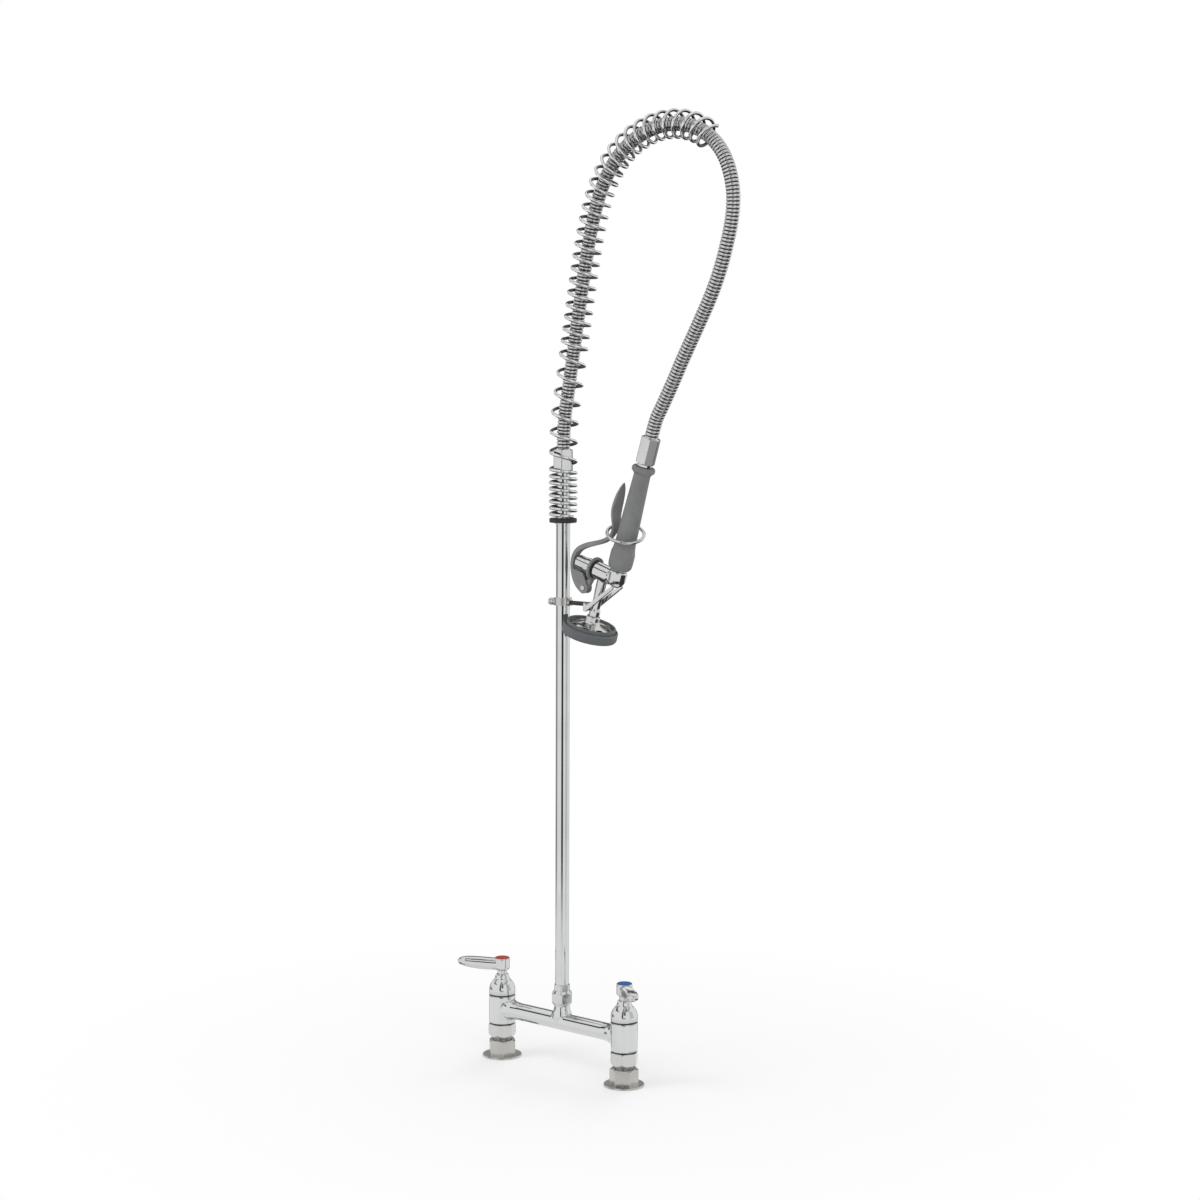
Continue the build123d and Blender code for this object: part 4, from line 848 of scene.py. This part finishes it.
# Dark flags round the white studio, as metal sees them: limits left and right in degrees
# from the photographer's side, their softness, limits below and above as the sine of the
# elevation, their softness, and darkness. A flag behind the faucet is written twice, once
# for each way round to it.
studio_flags = [
    (-20, 12, 4, -0.215, -0.01, 0.02, 0.96),
    (-23, -10, 3, 0.02, 0.93, 0.04, 0.98),
    (-6, 14, 4, 0.36, 0.86, 0.05, 0.85),
    (-128, -58, 8, 0.50, 0.66, 0.04, 0.96),
    (-142, -98, 8, -0.215, 0.05, 0.02, 0.70),
    (48, 84, 12, -0.215, 0.60, 0.02, 0.32),
    (150, 190, 10, -0.34, -0.02, 0.03, 0.80),
    (-190, -150, 10, -0.34, -0.02, 0.03, 0.80),
    (140, 190, 10, 0.22, 0.60, 0.05, 0.85),
    (-190, -140, 10, 0.22, 0.60, 0.05, 0.85),
    (20, 120, 10, 0.74, 0.84, 0.03, 0.60),
    (-40, 40, 10, -0.93, -0.60, 0.05, 0.95),
    (40, 200, 8, -0.92, -0.34, 0.05, 0.95),
    (-200, -140, 8, -0.92, -0.34, 0.05, 0.95),
    (-140, -40, 8, -0.93, -0.50, 0.05, 0.95),
]


def calculated(tree, operation, first, second):
    """Result of a sum on two values."""
    node = tree.nodes.new("ShaderNodeMath")
    node.operation = operation
    tree.links.new(first, node.inputs[0])
    tree.links.new(second, node.inputs[1])
    return node.outputs[0]


def mixed(tree, factor, first, second):
    """First shader where the factor is nothing, second where it is one."""
    mix = tree.nodes.new("ShaderNodeMixShader")
    tree.links.new(factor, mix.inputs["Fac"])
    tree.links.new(first, mix.inputs[1])
    tree.links.new(second, mix.inputs[2])
    return mix.outputs[0]


def glow(tree, kind, colour):
    """Plain light of one colour, from a background or an emission."""
    light = tree.nodes.new(kind)
    light.inputs["Color"].default_value = (*colour, 1.0)
    return light.outputs[0]


def window(tree, value, low, high, soft):
    """One between two limits of a value, falling smoothly to nothing outside them."""
    edges = []
    for limit, before, after in ((low, 0.0, 1.0), (high, 1.0, 0.0)):
        edge = tree.nodes.new("ShaderNodeMapRange")
        edge.interpolation_type = "SMOOTHSTEP"
        edge.inputs["From Min"].default_value = limit - soft
        edge.inputs["From Max"].default_value = limit + soft
        edge.inputs["To Min"].default_value = before
        edge.inputs["To Max"].default_value = after
        tree.links.new(value, edge.inputs["Value"])
        edges.append(edge.outputs["Result"])
    return calculated(tree, "MULTIPLY", *edges)


def flagged_tone(tree, azimuth, rise):
    """Brightness of the studio in a direction, white but for the flags."""
    tone = None
    for left, right, soft, low, high, fade, darkness in studio_flags:
        across = window(tree, azimuth, radians(left), radians(right), radians(soft))
        upward = window(tree, rise, low, high, fade)
        flag = calculated(tree, "MULTIPLY", across, upward)
        light = spread(tree, flag, 1.0, 1.0 - darkness, 0.0, 1.0)
        tone = light if tone is None else calculated(tree, "MULTIPLY", tone, light)
    return tone


def studio_world():
    """White for the camera, even light for the object, and a studio with flags for metal."""
    world = bpy.data.worlds.new("studio")
    bpy.context.scene.world = world
    world.use_nodes = True
    tree = world.node_tree
    tree.nodes.clear()
    output = tree.nodes.new("ShaderNodeOutputWorld")
    rays = tree.nodes.new("ShaderNodeLightPath").outputs

    direction = tree.nodes.new("ShaderNodeTexCoord").outputs["Generated"]
    apart = tree.nodes.new("ShaderNodeSeparateXYZ")
    tree.links.new(direction, apart.inputs["Vector"])
    turn = tree.nodes.new("ShaderNodeVectorRotate")
    turn.rotation_type = "Z_AXIS"
    turn.inputs["Angle"].default_value = pi / 2 - camera_azimuth
    tree.links.new(direction, turn.inputs["Vector"])
    turned_round = tree.nodes.new("ShaderNodeSeparateXYZ")
    tree.links.new(turn.outputs["Vector"], turned_round.inputs["Vector"])
    azimuth = calculated(tree, "ARCTAN2", turned_round.outputs["Y"], turned_round.outputs["X"])

    seen = tree.nodes.new("ShaderNodeBackground")
    tree.links.new(flagged_tone(tree, azimuth, apart.outputs["Z"]), seen.inputs["Color"])
    even = glow(tree, "ShaderNodeBackground", even_light)
    for_metal = mixed(tree, rays["Is Glossy Ray"], even, seen.outputs[0])
    plain_rays = calculated(tree, "MAXIMUM", rays["Is Camera Ray"], rays["Is Transmission Ray"])
    plain = glow(tree, "ShaderNodeBackground", white)
    tree.links.new(mixed(tree, plain_rays, for_metal, plain), output.inputs["Surface"])


def studio_floor():
    """Pale floor that keeps the object's shadow and turns white away from it."""
    half = floor_half_side
    corners = [(-half, -half, 0), (half, -half, 0), (half, half, 0), (-half, half, 0)]
    floor = new_object("floor", corners, [(0, 1, 2, 3)])
    floor.location.z = -floor_drop
    material, tree, shader, place = shader_nodes("floor_white")
    shader.inputs["Base Color"].default_value = (*floor_tone, 1.0)
    shader.inputs["Roughness"].default_value = 0.9
    shader.inputs["Specular IOR Level"].default_value = 0.0
    rays = tree.nodes.new("ShaderNodeLightPath").outputs
    length = tree.nodes.new("ShaderNodeVectorMath")
    length.operation = "LENGTH"
    tree.links.new(place, length.inputs[0])
    distance = length.outputs["Value"]

    away = spread(tree, distance, 0.35, 1.0, *floor_shadow)
    whitened = calculated(tree, "MULTIPLY", away, rays["Is Camera Ray"])
    floor_seen = mixed(tree, whitened, shader.outputs[0], glow(tree, "ShaderNodeEmission", white))

    # Metal sees a pale table that ends near the faucet
    table = glow(tree, "ShaderNodeEmission", floor_tone)
    open_side = tree.nodes.new("ShaderNodeBsdfTransparent").outputs[0]
    table_seen = mixed(tree, spread(tree, distance, 0.0, 1.0, *table_edge), table, open_side)
    surface = mixed(tree, rays["Is Glossy Ray"], floor_seen, table_seen)
    tree.links.new(surface, tree.nodes["Material Output"].inputs["Surface"])
    floor.data.materials.append(material)


def lamp(name, place, size, power):
    """Soft square lamp aimed at the middle of the faucet."""
    light = bpy.data.lights.new(name, "AREA")
    light.size = size
    light.energy = power
    carrier = bpy.data.objects.new(name, light)
    bpy.context.scene.collection.objects.link(carrier)
    carrier.location = place
    aim = lamp_aim - Vector(place)
    carrier.rotation_euler = aim.to_track_quat("-Z", "Y").to_euler()
    carrier.visible_glossy = False


def photo_camera():
    """Camera at the photograph's viewpoint."""
    forward = Vector((-sin(camera_azimuth) * cos(camera_pitch), cos(camera_azimuth) * cos(camera_pitch),
                      -sin(camera_pitch)))
    right = Vector((cos(camera_azimuth), sin(camera_azimuth), 0.0))
    up = right.cross(forward)
    place = Vector((0, 0, target_height)) - forward * camera_distance + right * target_aside
    right_rolled = right * cos(camera_roll) + up * sin(camera_roll)
    up_rolled = up * cos(camera_roll) - right * sin(camera_roll)
    data = bpy.data.cameras.new("photo_camera")
    data.sensor_width = sensor_width
    data.lens = focal_px / photo_side_px * sensor_width
    data.clip_end = view_depth
    camera = bpy.data.objects.new("photo_camera", data)
    bpy.context.scene.collection.objects.link(camera)
    turn = Matrix((right_rolled, up_rolled, -forward)).transposed()
    camera.matrix_world = Matrix.Translation(place) @ turn.to_4x4()
    bpy.context.scene.camera = camera


# Build

route = ([(0.0, pipe_top + gasket_thickness)] + held_route + free_route
         + [in_valve(0, hose_mouth + last_run), in_valve(0, hose_mouth)])
hose_line = SmoothLine(route)

dress_nodes()

hose_piece = hose(hose_line)
dress(hose_piece, hose_look)
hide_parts("hose_upper", "hose_lower")
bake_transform(hose_piece)

finish_piece(overhead_spring(hose_line), spring_look, "steel", "riser", "overhead_spring")
deck_valves()
faucet_casting()
spray_valve()

studio_world()
studio_floor()
lamp("key", (-1.3, -2.0, 2.2), 1.4, 22.0)
lamp("fill", (2.3, -1.2, 1.4), 1.6, 12.0)
lamp("back", (-0.6, 2.2, 2.0), 1.4, 12.0)
photo_camera()
bpy.context.scene.view_settings.view_transform = "Standard"
